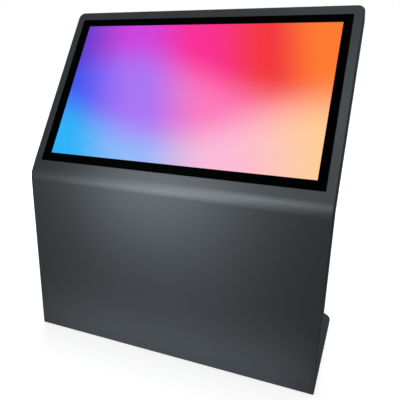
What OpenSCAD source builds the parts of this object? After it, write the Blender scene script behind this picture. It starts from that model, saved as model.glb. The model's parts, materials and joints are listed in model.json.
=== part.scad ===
// Free-standing touch kiosk. A bent steel front sheet stands on a flat base plate: its upright lower half
// hides a locked equipment bay, and its leaning upper half carries a wide screen behind flush glass.
// Millimetres, +Z up, the front faces -Y. The origin is the centre of the footprint on the floor.
// A depth is measured square to the front face, from that face inwards.

/* [Screen] */
// Width of the lit picture
screen_w = 941; // [900:1:980]
// Height of the lit picture
screen_h = 529; // [490:1:560]
// Black glass border at each side of the picture
border_side = 29.5; // [24:0.5:40]
// Black glass border above the picture
border_top = 31; // [24:0.5:40]
// Black glass border below the picture
border_bottom = 34; // [24:0.5:45]
// Thickness of the cover glass
glass_t = 4; // [3:0.5:5]
// Gap between the edge of the glass and the front sheet
glass_gap = 1; // [0.5:0.1:1.5]
// How far the glass lies below the front face
glass_drop = 0.3; // [0:0.1:1]
// Corner radius of the glass
glass_r = 2.5; // [1:0.5:4]

/* [Front sheet] */
// Metal at each side of the glass
margin_side = 30; // [30:0.5:60]
// Metal above the glass
margin_top = 34; // [30:0.5:60]
// Metal below the glass, down to the line where the two front faces would meet
margin_bottom = 54; // [48:1:90]
// Height of that line above the floor
knee_h = 625; // [600:1:760]
// Outer radius of the bend
knee_r = 75; // [68:1:110]
// Lean of the upper half from upright, in degrees
lean = 34; // [22:1:45]
// Depth of the folded sides
body_d = 55; // [52:0.5:60]
// Thickness of the front sheet
sheet_t = 2; // [1.5:0.25:2.5]
// Outer radius of the folded edges
edge_r = 5; // [4:0.5:7]
// Radius of the two top corners
corner_r = 24; // [10:1:26]
// Width of the flange folded in along the back
lip_w = 16; // [14:0.5:20]

/* [Base] */
// Depth of the footprint, from the front face to the rear edge of the plate
base_d = 520; // [460:1:620]
// Thickness of the base plate
base_t = 8; // [6:1:12]
// Radius of the rear corners of the base plate
base_corner_r = 50; // [20:1:80]
// Thickness of the rubber pads under the plate
pad_t = 2; // [2:0.5:4]
// Radius of the rubber pads
pad_r = 20; // [15:1:30]
// Spacing of the floor anchors from left to right
anchor_dx = 860; // [700:1:900]
// Spacing of the floor anchors from front to back
anchor_dy = 300; // [240:1:320]
// Radius of the floor anchor holes
anchor_r = 7; // [5:0.5:9]
// Leg of the angles that tie the front sheet to the plate
angle_leg = 40; // [32:1:44]
// Thickness of those angles
angle_t = 4; // [3:0.5:6]

/* [Display] */
// Depth of the frame that holds the glass
frame_d = 10; // [8:0.5:12]
// Width of the flange of that frame behind the front sheet
frame_flange = 11; // [9:0.5:12]
// Thickness of the tape between glass and frame
tape_t = 0.7; // [0.5:0.1:1]
// Thickness of the picture panel
lcd_t = 2.2; // [1.5:0.1:3]
// Edge of the picture panel outside the lit picture
lcd_rim = 10; // [6:0.5:12]
// Depth of the backlight tray
tray_d = 13.5; // [12:0.5:15]
// Sheet of the backlight tray
tray_wall = 1.5; // [1:0.25:2]
// Thickness of the light guide
guide_t = 6; // [4:0.5:7]
// Height of the rails behind the display
rail_h = 40; // [30:1:50]
// Depth of those rails
rail_d = 18; // [14:0.5:20]
// Distance between those rails
rail_pitch = 300; // [250:1:320]
// Width of the bent tubes inside the sides
tube_w = 14; // [12:0.5:16]
// Depth of those tubes
tube_d = 38; // [30:0.5:40]
// Wall of tubes and rails
tube_wall = 1.5; // [1:0.25:2]

/* [Rear covers and fans] */
// Sheet of the rear covers
cover_t = 1.5; // [1:0.25:2]
// Distance of the cover edges inside the body outline
cover_inset = 2; // [1:0.5:4]
// Size of the square fan frames
fan_s = 80; // [60:1:90]
// Depth of the fans
fan_d = 25; // [20:0.5:28]
// Distance of each fan from the middle
fan_x = 250; // [150:1:380]
// Shank radius of the cover screws
screw_r = 1.9; // [1.4:0.1:2.4]
// Length of the cover screws under the head
screw_l = 8; // [6:0.5:9]

/* [Service door] */
// Width of the service door
door_w = 480; // [460:1:640]
// Height of the service door
door_h = 400; // [360:1:420]
// Height of the bottom of the door above the floor
door_z = 115; // [108:1:130]
// Sheet of the door
door_t = 1.5; // [1:0.25:2]
// How far the door laps over the edge of its opening
door_lap = 15; // [13:0.5:20]
// Thickness of the foam seal under that lap
seal_t = 2; // [1.5:0.25:3]
// Radius of the hinge knuckles
hinge_r = 4.5; // [4:0.25:6]
// Radius of the hinge pins
pin_r = 2; // [1.5:0.25:2.5]
// Height of one hinge
hinge_h = 60; // [45:1:80]
// Radius of the lock barrels
lock_r = 9.5; // [8:0.25:11]
// Reach of the lock cams from the lock axis
cam_l = 37; // [34:0.5:42]

/* [Equipment] */
// Width of the media player
player_w = 180; // [150:1:184]
// Height of the media player
player_h = 130; // [100:1:150]
// Depth of the media player
player_t = 36; // [25:0.5:38]
// Radius of its power button
button_r = 5; // [3.5:0.25:7]
// Travel of that button
button_travel = 1; // [0.5:0.1:1.5]
// Width of the power supply
psu_w = 110; // [90:1:112]
// Height of the power supply
psu_h = 180; // [140:1:190]
// Depth of the power supply
psu_t = 30; // [25:0.5:38]

/* [Hidden] */
$fn = 48;

// Small play between pieces that slide or turn in each other
fit = 0.05;
// Play round fasteners and in panel cut-outs
play = 0.3;
// How far a cut runs past a face
over = 1;
// A bend is this much thinner on each side than the straights, and runs this many degrees into them
bend_step = 0.02;
bend_run = 0.4;

// Clear opening in the front sheet, and the outline that follows from it
open_w = screen_w + 2 * border_side;
open_h = screen_h + border_top + border_bottom;
open_r = glass_r + glass_gap;
body_w = open_w + 2 * margin_side;
half_w = body_w / 2;
upper_l = margin_bottom + open_h + margin_top;
front_y = -base_d / 2;
base_top = pad_t + base_t;
knee_t = knee_r * tan(lean / 2);
knee_z = knee_h - knee_t;
open_mid = margin_bottom + open_h / 2;
screen_mid = margin_bottom + border_bottom + screen_h / 2;

// Depths of the layers behind the front face
glass_back = glass_drop + glass_t;
pocket_d = glass_back + tape_t;
frame_back = sheet_t + frame_d;
lcd_back = glass_back + lcd_t;
tray_back = lcd_back + tray_d;
cover_out = body_d + cover_t;

// Display module
lcd_w = screen_w + 2 * lcd_rim;
lcd_h = screen_h + 2 * lcd_rim;
tray_lap = 3;
tray_w = lcd_w + 2 * tray_lap;
tray_h = lcd_h + 2 * tray_lap;
tray_room = 1.5;
frame_hole_w = tray_w + 2 * tray_room;
frame_hole_h = tray_h + 2 * tray_room;
tape_margin = 1;
guide_gap = 0.5;
guide_room = 2;
rib_w = 30;
rib_h = tray_d - tray_wall - guide_gap - guide_t;
rib_pitch = 190;
rib_xs = [for (i = [-2:2]) i * rib_pitch];
rail_xs = [for (x = rib_xs) if (x != 0) x];
rail_vs = [open_mid - rail_pitch / 2, open_mid + rail_pitch / 2];

// Bent tubes inside the sides
tube_depth = edge_r + 1;
tube_end = 30;

// Studs that hold the display frame
stud_r = 2;
stud_l = 16;
nut_r = 4;
nut_h = 3.2;
stud_in = frame_flange / 2;
stud_row = [-2:2];
stud_col = [-1:1];
stud_dx = open_w / 5;
stud_dv = open_h / 4;
stud_points = concat(
    [for (i = stud_row, s = [-1, 1]) [i * stud_dx, open_mid + s * (open_h / 2 + stud_in)]],
    [for (i = stud_col, s = [-1, 1]) [s * (open_w / 2 + stud_in), open_mid + i * stud_dv]]
);

// Screws of the rear covers
head_r = 3.6;
head_top_r = 2.6;
head_h = 2.2;
screw_in = lip_w / 2 + 1;
screw_x = half_w - screw_in;
screw_end = 36;
upper_rows = 4;
lower_rows = 4;
upper_v0 = knee_t + screw_end;
upper_v1 = upper_l - screw_end;
lower_z0 = base_top + screw_end;
lower_z1 = knee_z - screw_end;
top_xs = [-screw_x / 2, 0, screw_x / 2];
upper_screws = concat(
    [for (i = [0:upper_rows - 1], s = [-1, 1])
        [s * screw_x, upper_v0 + i * (upper_v1 - upper_v0) / (upper_rows - 1)]],
    [for (x = top_xs) [x, upper_l - screw_in]]
);
lower_screws = [for (i = [0:lower_rows - 1], s = [-1, 1])
    [s * screw_x, lower_z0 + i * (lower_z1 - lower_z0) / (lower_rows - 1)]];

// Gap between the rear covers, and above the base plate
cover_gap = 1;

// Fans, their holes and the air slots of the covers
fan_top = 50;
fan_v = upper_l - fan_top - fan_s / 2;
fan_wall = 1.5;
fan_bore = fan_s / 2 - fan_wall;
fan_screw_in = 4.3;
fan_hub_r = 18;
fan_hub_wall = 2;
fan_base_r = 17;
fan_tip_gap = 1.2;
fan_clear = 3;
fan_shaft_r = 1.5;
fan_shaft_l = fan_d - fan_clear - 1;
fan_post_r = 4;
fan_blades = 7;
fan_pitch = 38;
fan_blade_t = 1.4;
fan_blade_in = 0.6;
fan_strut = 4;
fan_guard_r = 2.4;
fan_guard_step = 7.2;
fan_guard_rings = 5;
slot_w = 6;
slot_l = 90;
slot_pitch = 14;
intake_n = 16;
intake_v = 92;
fan_corners = [for (i = [-1, 1], j = [-1, 1])
    [i * (fan_s / 2 - fan_screw_in), j * (fan_s / 2 - fan_screw_in)]];
fan_points = [for (s = [-1, 1], c = fan_corners) [s * fan_x + c.x, fan_v + c.y]];

// Door, hinges and locks
door_gap = 0.2;
door_in = cover_out + seal_t + door_gap;
door_out = door_in + door_t;
door_mid = door_z + door_h / 2;
door_r = 6;
door_rim = 5;
door_rim_t = 1.5;
door_rim_room = 2.5;
seal_w = 8;
seal_in = 2;
leaf_w = 26;
leaf_t = 2;
leaf_reach = hinge_r + 1.5;
knuckle_gap = 0.3;
knuckle_h = hinge_h / 3;
hinge_gap = 1;
hinge_x = -(door_w / 2 + hinge_r + hinge_gap);
hinge_d = cover_out + hinge_r + play;
hinge_in = 70;
hinge_zs = [door_z + hinge_in, door_z + door_h - hinge_in];
pin_head_r = 3.4;
pin_head_t = 1.6;
lock_in = 42;
lock_dz = 100;
lock_x = door_w / 2 - lock_in;
lock_zs = [door_z + lock_dz, door_z + door_h - lock_dz];
lock_head_r = lock_r + 2;
lock_head_t = 2;
lock_nut_r = lock_r + 4;
lock_nut_t = 4.5;
lock_short = 2.3;
lock_end = body_d - lock_short;
plug_r = 6;
plug_out = 0.6;
key_w = 2.2;
key_l = 8;
key_d = 2;
cam_w = 16;
cam_t = 3;
cam_screw_r = 4;
cam_screw_h = 2.5;
vent_cols = [-1, 0, 1];
vent_rows = 8;
vent_dx = 110;
vent_top = 60;

// Equipment on the component plate behind the door
plate_t = 2;
plate_w = 390;
plate_h = 230;
plate_x = -5;
plate_z = door_z + 40;
plate_in = 12;
fixing_r = 3;
fixing_nut_r = 5.5;
fixing_nut_h = 5;
fixing_out = 2;
plate_back = sheet_t + plate_t;
plate_points = [for (i = [-1, 1], j = [-1, 1])
    [plate_x + i * (plate_w / 2 - plate_in), plate_z + plate_h / 2 + j * (plate_h / 2 - plate_in)]];
psu_x = -125;
psu_z = plate_z + 25;
psu_hole_r = 3;
psu_hole_d = 1;
psu_hole_dx = 18;
psu_hole_dz = 12;
psu_hole_up = 18;
psu_notch = [psu_w - 12, 22];
terminal_dx = 14;
terminal_n = floor((psu_notch.x - 4) / terminal_dx);
terminal_up = 2;
terminal_h = psu_notch.y - 2 * terminal_up;
terminal_t = 4;
terminal_wall = 1.6;
terminal_out = 3.5;
terminal_edge = 0.4;
player_x = 80;
player_z = plate_z + 50;
player_r = 8;
player_back = plate_back + player_t;
player_seam = 1;
player_seam_in = 8;
player_slot = [80, 4];
player_slot_x = player_x - 30;
player_slot_d = 1.5;
player_slot_dz = 10;
player_port = [15, 10, 8];
player_port_in = 10;
player_ports = [-60, -36, -12, 12];
button_in = 24;
button_x = player_x + player_w / 2 - button_in;
button_z = player_z + player_h - button_in;
button_out = 2;
button_l = 7;

// Mains entry at the foot of the lower rear panel
inlet_x = 400;
inlet_z = 75;
inlet_flange = [50, 24, 3];
inlet_r = 4;
inlet_screw_dx = 20;
inlet_body = [27.4, 20.4, 25];
inlet_mouth = [24.6, 16.8, 17];
inlet_mouth_cut = 4.5;
inlet_pin = [2, 4, 15];
inlet_pin_dx = 7;
inlet_pin_low = -2;
inlet_pin_high = 2;
switch_x = 340;
switch_bezel = [21, 27, 2];
switch_r = 2;
switch_body_size = [19, 25, 20];
rocker_hole = [13.4, 20.6];
rocker_w = 13;
rocker_r = 9.9;
rocker_tilt = 12;
rocker_pivot = 0.5;
rocker_pin_r = 1.3;
rocker_pin_l = 1.5;
rocker_mid = 1.2;
rocker_foot = 6;
rocker_foot_w = 7;
rocker_side = 1;
rocker_room = 9;

// Angles, bolts, anchors and pads of the base
bolt_r = 4;
bolt_head_r = 7.5;
bolt_head_h = 5.3;
bolt_in = 60;
bolt_d = sheet_t + (angle_leg + angle_t) / 2;
angle_x0 = 90;
angle_end = 4;
angle_x1 = half_w - sheet_t - tube_w - angle_end;
bolt_xs = [angle_x0 + bolt_in, (angle_x0 + angle_x1) / 2, angle_x1 - bolt_in];
anchor_in = 60;
anchor_d = base_d - anchor_in - anchor_dy / 2;
pad_in = 65;
pad_front = 85;

// Cable entry in the base plate
entry_r = 18;
entry_bore = 15;
entry_lip = 3;
entry_lip_t = 1.5;
entry_d = (sheet_t + body_d) / 2;

// Boards on the back of the backlight tray
standoff_l = 6;
standoff_r = 3;
standoff_in = 6;
pcb_t = 1.6;
driver_size = [180, 110];
touch_size = [90, 40];
touch_x = -300;
driver_chips = [[[-10, 12], [36, 36, 8]], [[-58, 18], [22, 16, 3]], [[58, 18], [22, 16, 3]]];
driver_caps = [[52, -14], [61, -14], [52, -24], [61, -24]];
cap_r = 3.5;
cap_h = 9;
touch_chips = [[[0, 0], [14, 14, 2]], [[30, 0], [12, 24, 6]]];
port_xs = [-50, 40];
port_size = [32, 18, 10];
port_out = 3;
port_v = open_mid - driver_size.y / 2 - port_out;
port_d = tray_back + standoff_l + pcb_t + port_size.z / 2;

// Leads that run inside the body: round points chosen along the way, ends on the pieces that they join.
// Each is straight where a clip holds it
mains_r = 3.5;
lead_r = 3;
lead_sides = 8;
lead_steps = 2;
lead_ref = [0.2, 1, 0.1];
lead_end = 30;
clip_l = 14;
clip_wall = 2.5;
run_d = 12;
run_xs = [205, 180, 120, 90, 30, 0];
rise_zs = [430, 450, 500, 520];
display_x = -120;
video_x = 80;
run_clips = [[150, inlet_z], [60, inlet_z]];
rise_clips = [[display_x, 475], [video_x, 475]];
link_d = cover_out - switch_body_size.z / 2;
psu_mid = plate_back + psu_t / 2;
psu_notch_d = psu_mid + 2 * mains_r;
player_mid = plate_back + player_t / 2;
link_route = [
    low(inlet_x - inlet_body.x / 2, inlet_z, link_d),
    low((inlet_x + switch_x) / 2, inlet_z, link_d),
    low(switch_x + switch_body_size.x / 2, inlet_z, link_d)
];
mains_route = [
    low(switch_x - switch_body_size.x / 2, inlet_z, link_d),
    low(300, inlet_z, link_d),
    low(255, inlet_z, 30),
    each [for (x = run_xs) low(x, inlet_z, run_d)],
    low(-70, 80, run_d),
    low(-115, 115, 15),
    low(psu_x, 150, psu_mid),
    low(psu_x, psu_z, psu_mid)
];
display_route = [
    low(psu_x, psu_z + psu_h, psu_mid),
    low(psu_x, psu_z + psu_h + lead_end, psu_mid),
    each [for (z = rise_zs) low(display_x, z, run_d)],
    upp(-110, 10, 24),
    upp(-95, 110, 44),
    upp(-80, 200, 46),
    upp(port_xs[0], port_v - lead_end, port_d + lead_r),
    upp(port_xs[0], port_v, port_d)
];
video_route = [
    low(player_x, player_z + player_h, player_mid),
    low(player_x, player_z + player_h + lead_end, player_mid),
    each [for (z = rise_zs) low(video_x, z, run_d)],
    upp(75, 10, 24),
    upp(65, 110, 44),
    upp(55, 200, 46),
    upp(port_xs[1], port_v - lead_end, port_d + lead_r),
    upp(port_xs[1], port_v, port_d)
];

// A point at a depth behind the lower front face, and one behind the upper front face
function low(x, z, depth) = [x, front_y + depth, z];
function upp(x, v, depth) = [
    x,
    front_y + v * sin(lean) + depth * cos(lean),
    knee_h + v * cos(lean) - depth * sin(lean)
];

// Frames of the two front faces: x across, y up along the face, z out of the face
module on_lower() {
    translate([0, front_y, 0]) rotate([90, 0, 0]) children();
}
module on_upper() {
    translate([0, front_y, knee_h]) rotate([90 - lean, 0, 0]) children();
}
// A plate whose front lies at a depth behind the face
module layer(depth, t) {
    translate([0, 0, -(depth + t)]) linear_extrude(t) children();
}
// A round bar square to the face, from a depth inwards
module bar(p, depth, l, r) {
    translate([p.x, p.y, -(depth + l)]) cylinder(h = l, r = r);
}
// A frame whose z axis points backwards out of the lower rear panel
module backwards(x, z, depth) {
    translate([x, front_y + depth, z]) rotate([-90, 0, 0]) children();
}

// Sweep of a section along the bent front: x across, y the depth
module sweep_lower(z0) {
    translate([0, front_y, z0]) linear_extrude(knee_z - z0) children();
}
module sweep_knee() {
    translate([0, front_y + knee_r, knee_z]) rotate([90, 0, -90])
        rotate(-bend_run) rotate_extrude(angle = lean + 2 * bend_run)
            translate([knee_r, 0]) mirror([0, 1]) rotate(90) children();
}
module sweep_upper(v1) {
    on_upper() translate([0, knee_t, 0]) rotate([-90, 0, 0]) linear_extrude(v1 - knee_t) children();
}

module rounded_rect(w, h, r) {
    translate([-w / 2, r - h / 2]) square([w, h - 2 * r]);
    translate([r - w / 2, -h / 2]) square([w - 2 * r, h]);
    for (i = [-1, 1], j = [-1, 1]) translate([i * (w / 2 - r), j * (h / 2 - r)]) circle(r);
}
module slot(l, w) {
    square([l - w, w], center = true);
    for (s = [-1, 1]) translate([s * (l - w) / 2, 0]) circle(w / 2);
}
module hex_nut(r, h, bore) {
    difference() {
        cylinder(h = h, r = r, $fn = 6);
        translate([0, 0, -over]) cylinder(h = h + 2 * over, r = bore);
    }
}
// A pan-head screw put in from behind, its head seated at a depth
module rear_screw(p, seat) {
    translate([p.x, p.y, -seat]) rotate([180, 0, 0]) rotate_extrude() polygon([
        [0, -screw_l], [screw_r, -screw_l], [screw_r, 0], [head_r, 0],
        [head_r, head_h / 2], [head_top_r, head_h], [0, head_h]
    ]);
}

// Front sheet: the folded section of its lower half, and the tray of its upper half
module body_section(inset) {
    half = half_w - inset;
    r = edge_r - inset;
    translate([r - half, inset]) square([2 * (half - r), body_d - 2 * inset]);
    translate([-half, inset + r]) square([2 * half, body_d - 2 * inset - r]);
    for (s = [-1, 1]) translate([s * (half - r), inset + r]) circle(r);
}
module shell_section(step) {
    gap = body_w - 2 * (lip_w - step);
    difference() {
        body_section(step);
        body_section(sheet_t - step);
        translate([-gap / 2, body_d - 2 * sheet_t]) square([gap, 3 * sheet_t]);
    }
}
// Rounded edge of a block, w wide and h high
module edge_strip(w, r, h) {
    square([w, h - r]);
    square([w - r, h]);
    translate([w - r, h - r]) circle(r);
}
module upper_block(inset, v0) {
    half = half_w - inset;
    top = upper_l - inset;
    w = corner_r - inset;
    r = edge_r - inset;
    h = body_d - 2 * inset;
    translate([0, 0, inset - body_d]) {
        translate([w - half, v0, 0]) cube([2 * (half - w), top - w - v0, h]);
        translate([w - half, top - w, 0]) rotate([90, 0, 90])
            linear_extrude(2 * (half - w)) edge_strip(w, r, h);
        for (s = [0, 1]) mirror([s, 0, 0]) translate([half - w, top - w, 0]) {
            rotate([90, 0, 0]) linear_extrude(top - w - v0) edge_strip(w, r, h);
            rotate_extrude(angle = 90) edge_strip(w, r, h);
        }
    }
}
module upper_tray() {
    difference() {
        upper_block(0, knee_t);
        upper_block(sheet_t, knee_t - over);
        translate([lip_w - half_w, knee_t - over, -body_d - over])
            cube([body_w - 2 * lip_w, upper_l - lip_w - knee_t + over, 3 * sheet_t]);
        layer(-over, 2 * sheet_t + over) translate([0, open_mid]) rounded_rect(open_w, open_h, open_r);
        for (p = upper_screws) bar(p, body_d - 2 * sheet_t, 3 * sheet_t, screw_r + fit);
    }
}
module front_shell() {
    color("#4a4e52") {
        difference() {
            union() {
                sweep_lower(pad_t) shell_section(0);
                sweep_knee() shell_section(bend_step);
            }
            translate([-body_w, front_y + sheet_t, 0]) cube([2 * body_w, 2 * body_d, base_top]);
            on_lower() for (p = lower_screws) bar(p, body_d - 2 * sheet_t, 3 * sheet_t, screw_r + fit);
        }
        on_upper() upper_tray();
    }
}

// Base
module base_outline() {
    translate([-half_w, edge_r]) square([body_w, base_d - edge_r - base_corner_r]);
    translate([edge_r - half_w, 0]) square([body_w - 2 * edge_r, base_d - base_corner_r]);
    translate([base_corner_r - half_w, edge_r]) square([body_w - 2 * base_corner_r, base_d - edge_r]);
    for (s = [-1, 1]) {
        translate([s * (half_w - edge_r), edge_r]) circle(edge_r);
        translate([s * (half_w - base_corner_r), base_d - base_corner_r]) circle(base_corner_r);
    }
}
module base_plate() {
    color("#44484c") translate([0, front_y, pad_t]) linear_extrude(base_t) difference() {
        base_outline();
        translate([-body_w, -over]) square([2 * body_w, sheet_t + over]);
        for (i = [-1, 1], j = [-1, 1])
            translate([i * anchor_dx / 2, anchor_d + j * anchor_dy / 2]) circle(anchor_r);
        for (s = [-1, 1], x = bolt_xs) translate([s * x, bolt_d]) circle(bolt_r + fit);
        translate([0, entry_d]) circle(entry_r);
    }
}
module foot_pads() {
    color("#1c1c1e") for (x = [-1, 0, 1], y = [pad_front, base_d - pad_in])
        translate([x * (half_w - pad_in), front_y + y, 0]) cylinder(h = pad_t, r = pad_r);
}
module base_angle(side) {
    x0 = side > 0 ? angle_x0 : -angle_x1;
    color("#8d9094") difference() {
        translate([x0, front_y + sheet_t, base_top]) {
            cube([angle_x1 - angle_x0, angle_leg, angle_t]);
            cube([angle_x1 - angle_x0, angle_t, angle_leg]);
        }
        for (x = bolt_xs) translate([side * x, front_y + bolt_d, base_top - over])
            cylinder(h = angle_t + 2 * over, r = bolt_r + fit);
    }
}
module base_angle_left() { base_angle(-1); }
module base_angle_right() { base_angle(1); }
module base_bolts() {
    color("#b6b9bc") for (s = [-1, 1], x = bolt_xs) translate([s * x, front_y + bolt_d, 0]) {
        translate([0, 0, base_top + angle_t]) cylinder(h = bolt_head_h, r = bolt_head_r, $fn = 6);
        translate([0, 0, pad_t]) cylinder(h = base_t + angle_t, r = bolt_r);
    }
}
module cable_grommet() {
    color("#1c1c1e") translate([0, front_y + entry_d, pad_t]) rotate_extrude() polygon([
        [entry_bore, -entry_lip_t], [entry_r + entry_lip, -entry_lip_t], [entry_r + entry_lip, 0],
        [entry_r - fit, 0], [entry_r - fit, base_t], [entry_r + entry_lip, base_t],
        [entry_r + entry_lip, base_t + entry_lip_t], [entry_bore, base_t + entry_lip_t]
    ]);
}

// Bent tubes inside the sides
module tube_section(side, step) {
    wall = tube_wall - step;
    translate([side * (half_w - sheet_t - tube_w / 2), tube_depth + tube_d / 2]) difference() {
        square([tube_w - 2 * step, tube_d - 2 * step], center = true);
        square([tube_w - 2 * wall, tube_d - 2 * wall], center = true);
    }
}
module side_frame(side) {
    color("#8d9094") {
        sweep_lower(base_top) tube_section(side, 0);
        sweep_knee() tube_section(side, bend_step);
        sweep_upper(upper_l - tube_end) tube_section(side, 0);
    }
}
module side_frame_left() { side_frame(-1); }
module side_frame_right() { side_frame(1); }

// Glass and display
module cover_glass() {
    color("#0b0d0e") on_upper() layer(glass_drop, glass_t)
        translate([0, open_mid]) rounded_rect(open_w - 2 * glass_gap, open_h - 2 * glass_gap, glass_r);
}
module glass_tape() {
    inset = 2 * (glass_gap + tape_margin);
    color("#151515") on_upper() layer(glass_back, tape_t) difference() {
        translate([0, open_mid]) square([open_w - inset, open_h - inset], center = true);
        translate([0, screen_mid])
            square([frame_hole_w + 2 * tape_margin, frame_hole_h + 2 * tape_margin], center = true);
    }
}
module display_frame() {
    flange = 2 * frame_flange;
    cut = sheet_t - over;
    color("#2a2c2e") on_upper() difference() {
        layer(sheet_t, frame_d) translate([0, open_mid])
            square([open_w + flange, open_h + flange], center = true);
        layer(cut, pocket_d - cut) translate([0, open_mid]) square([open_w, open_h], center = true);
        layer(cut, frame_d + 2 * over) translate([0, screen_mid])
            square([frame_hole_w, frame_hole_h], center = true);
        for (p = stud_points) bar(p, cut, frame_d + 2 * over, stud_r + play);
    }
}
module frame_studs() {
    color("#b6b9bc") on_upper() for (p = stud_points) bar(p, sheet_t, stud_l, stud_r);
}
module frame_nuts() {
    color("#b6b9bc") on_upper() for (p = stud_points)
        translate([p.x, p.y, -frame_back - nut_h]) hex_nut(nut_r, nut_h, stud_r + fit);
}
module lcd_panel() {
    color("#20242a") on_upper() layer(glass_back, lcd_t)
        translate([0, screen_mid]) square([lcd_w, lcd_h], center = true);
}
module light_guide() {
    room = 2 * (tray_wall + guide_room);
    color("#eef2f4") on_upper() layer(lcd_back + guide_gap, guide_t)
        translate([0, screen_mid]) square([tray_w - room, tray_h - room], center = true);
}
module backlight_tray() {
    wall = 2 * tray_wall;
    color("#c3c7ca") on_upper() difference() {
        union() {
            difference() {
                layer(lcd_back, tray_d) translate([0, screen_mid]) square([tray_w, tray_h], center = true);
                layer(lcd_back - over, tray_d - tray_wall + over) translate([0, screen_mid])
                    square([tray_w - wall, tray_h - wall], center = true);
            }
            for (x = rib_xs) layer(tray_back - tray_wall - rib_h, rib_h)
                translate([x, screen_mid]) square([rib_w, tray_h - wall], center = true);
        }
        for (x = rail_xs, v = rail_vs)
            bar([x, v], tray_back + tube_wall - screw_l, screw_l, screw_r + fit);
    }
}
module display_rail(v) {
    l = 2 * (half_w - sheet_t - tube_w);
    color("#8d9094") on_upper() difference() {
        layer(tray_back, rail_d) translate([0, v]) square([l, rail_h], center = true);
        layer(tray_back + tube_wall, rail_d) translate([0, v])
            square([l + 2 * over, rail_h - 2 * tube_wall], center = true);
        for (x = rail_xs) bar([x, v], tray_back - over, tube_wall + 2 * over, screw_r + play);
    }
}
module display_rail_lower() { display_rail(rail_vs[0]); }
module display_rail_upper() { display_rail(rail_vs[1]); }
module rail_screws() {
    color("#b6b9bc") on_upper() for (x = rail_xs, v = rail_vs) rear_screw([x, v], tray_back + tube_wall);
}

// Boards: a plate on standoffs with chips and ports on its back
module board(size, p) {
    stand = size / 2 - [standoff_in, standoff_in];
    for (i = [-1, 1], j = [-1, 1])
        bar([p.x + i * stand.x, p.y + j * stand.y], tray_back, standoff_l, standoff_r);
    layer(tray_back + standoff_l, pcb_t) translate(p) square(size, center = true);
}
module chip(p, size) {
    layer(tray_back + standoff_l + pcb_t, size.z) translate(p) square([size.x, size.y], center = true);
}
module driver_board() {
    color("#1f5a3a") on_upper() {
        mid = [0, open_mid];
        board(driver_size, mid);
        for (c = driver_chips) chip(mid + c[0], c[1]);
        for (p = driver_caps) bar(mid + p, tray_back + standoff_l + pcb_t, cap_h, cap_r);
        for (x = port_xs) chip([x, port_v + port_size.y / 2], port_size);
    }
}
module touch_board() {
    color("#1f5a3a") on_upper() {
        mid = [touch_x, open_mid];
        board(touch_size, mid);
        for (c = touch_chips) chip(mid + c[0], c[1]);
    }
}

// Upper rear cover and fans
module cover_outline() {
    half = half_w - cover_inset;
    top = upper_l - cover_inset;
    r = corner_r - cover_inset;
    v0 = knee_t + cover_gap;
    translate([-half, v0]) square([2 * half, top - r - v0]);
    translate([r - half, v0]) square([2 * (half - r), top - v0]);
    for (s = [-1, 1]) translate([s * (half - r), top - r]) circle(r);
}
module fan_guard() {
    circle(fan_guard_r);
    for (ring = [1:fan_guard_rings - 1], i = [0:6 * ring - 1])
        rotate(i * 60 / ring) translate([ring * fan_guard_step, 0]) circle(fan_guard_r);
}
module upper_rear_cover() {
    color("#44484c") on_upper() layer(body_d, cover_t) difference() {
        cover_outline();
        for (s = [-1, 1]) translate([s * fan_x, fan_v]) fan_guard();
        for (i = [0:intake_n - 1], s = [-1, 1])
            translate([s * (fan_x + (i - (intake_n - 1) / 2) * slot_pitch), intake_v + slot_l / 2])
                rotate(90) slot(slot_l, slot_w);
        for (p = concat(upper_screws, fan_points)) translate(p) circle(screw_r + play);
    }
}
module upper_cover_screws() {
    color("#2b2d2f") on_upper() for (p = upper_screws) rear_screw(p, cover_out);
}
module fan_screws() {
    color("#2b2d2f") on_upper() for (p = fan_points) rear_screw(p, cover_out);
}
module fan_frame(side) {
    color("#1b1c1e") on_upper() translate([side * fan_x, fan_v, -body_d]) {
        difference() {
            linear_extrude(fan_d) difference() {
                rounded_rect(fan_s, fan_s, fan_screw_in);
                circle(fan_bore);
            }
            for (c = fan_corners)
                translate([c.x, c.y, -over]) cylinder(h = fan_d + 2 * over, r = screw_r + fit);
        }
        difference() {
            union() {
                for (a = [45:90:315]) rotate(a) translate([0, -fan_strut / 2, fan_d - fan_strut])
                    cube([fan_bore + over, fan_strut, fan_strut]);
                translate([0, 0, fan_d - fan_strut]) cylinder(h = fan_strut, r = fan_base_r);
                translate([0, 0, fan_d / 2]) cylinder(h = fan_d / 2, r = fan_post_r);
            }
            translate([0, 0, fan_d / 2 - over]) cylinder(h = fan_d, r = fan_shaft_r + fit);
        }
    }
}
module fan_frame_left() { fan_frame(-1); }
module fan_frame_right() { fan_frame(1); }
module fan_rotor(side) {
    h = fan_d - fan_strut - 2 * fan_clear;
    tip = fan_bore - fan_tip_gap;
    color("#26282a") on_upper() translate([side * fan_x, fan_v, fan_clear - body_d]) {
        difference() {
            cylinder(h = h, r = fan_hub_r);
            translate([0, 0, fan_hub_wall]) cylinder(h = h, r = fan_hub_r - fan_hub_wall);
        }
        cylinder(h = fan_shaft_l, r = fan_shaft_r);
        for (i = [0:fan_blades - 1]) rotate(i * 360 / fan_blades) intersection() {
            translate([0, 0, fan_blade_in]) difference() {
                cylinder(h = h - 2 * fan_blade_in, r = tip);
                translate([0, 0, -over]) cylinder(h = h + 2 * over, r = fan_hub_r - fan_hub_wall / 2);
            }
            translate([0, 0, h / 2]) rotate([fan_pitch, 0, 0])
                translate([0, -fan_blade_t / 2, -fan_d]) cube([fan_s, fan_blade_t, 2 * fan_d]);
        }
    }
}
module fan_rotor_left() { fan_rotor(-1); }
module fan_rotor_right() { fan_rotor(1); }

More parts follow.
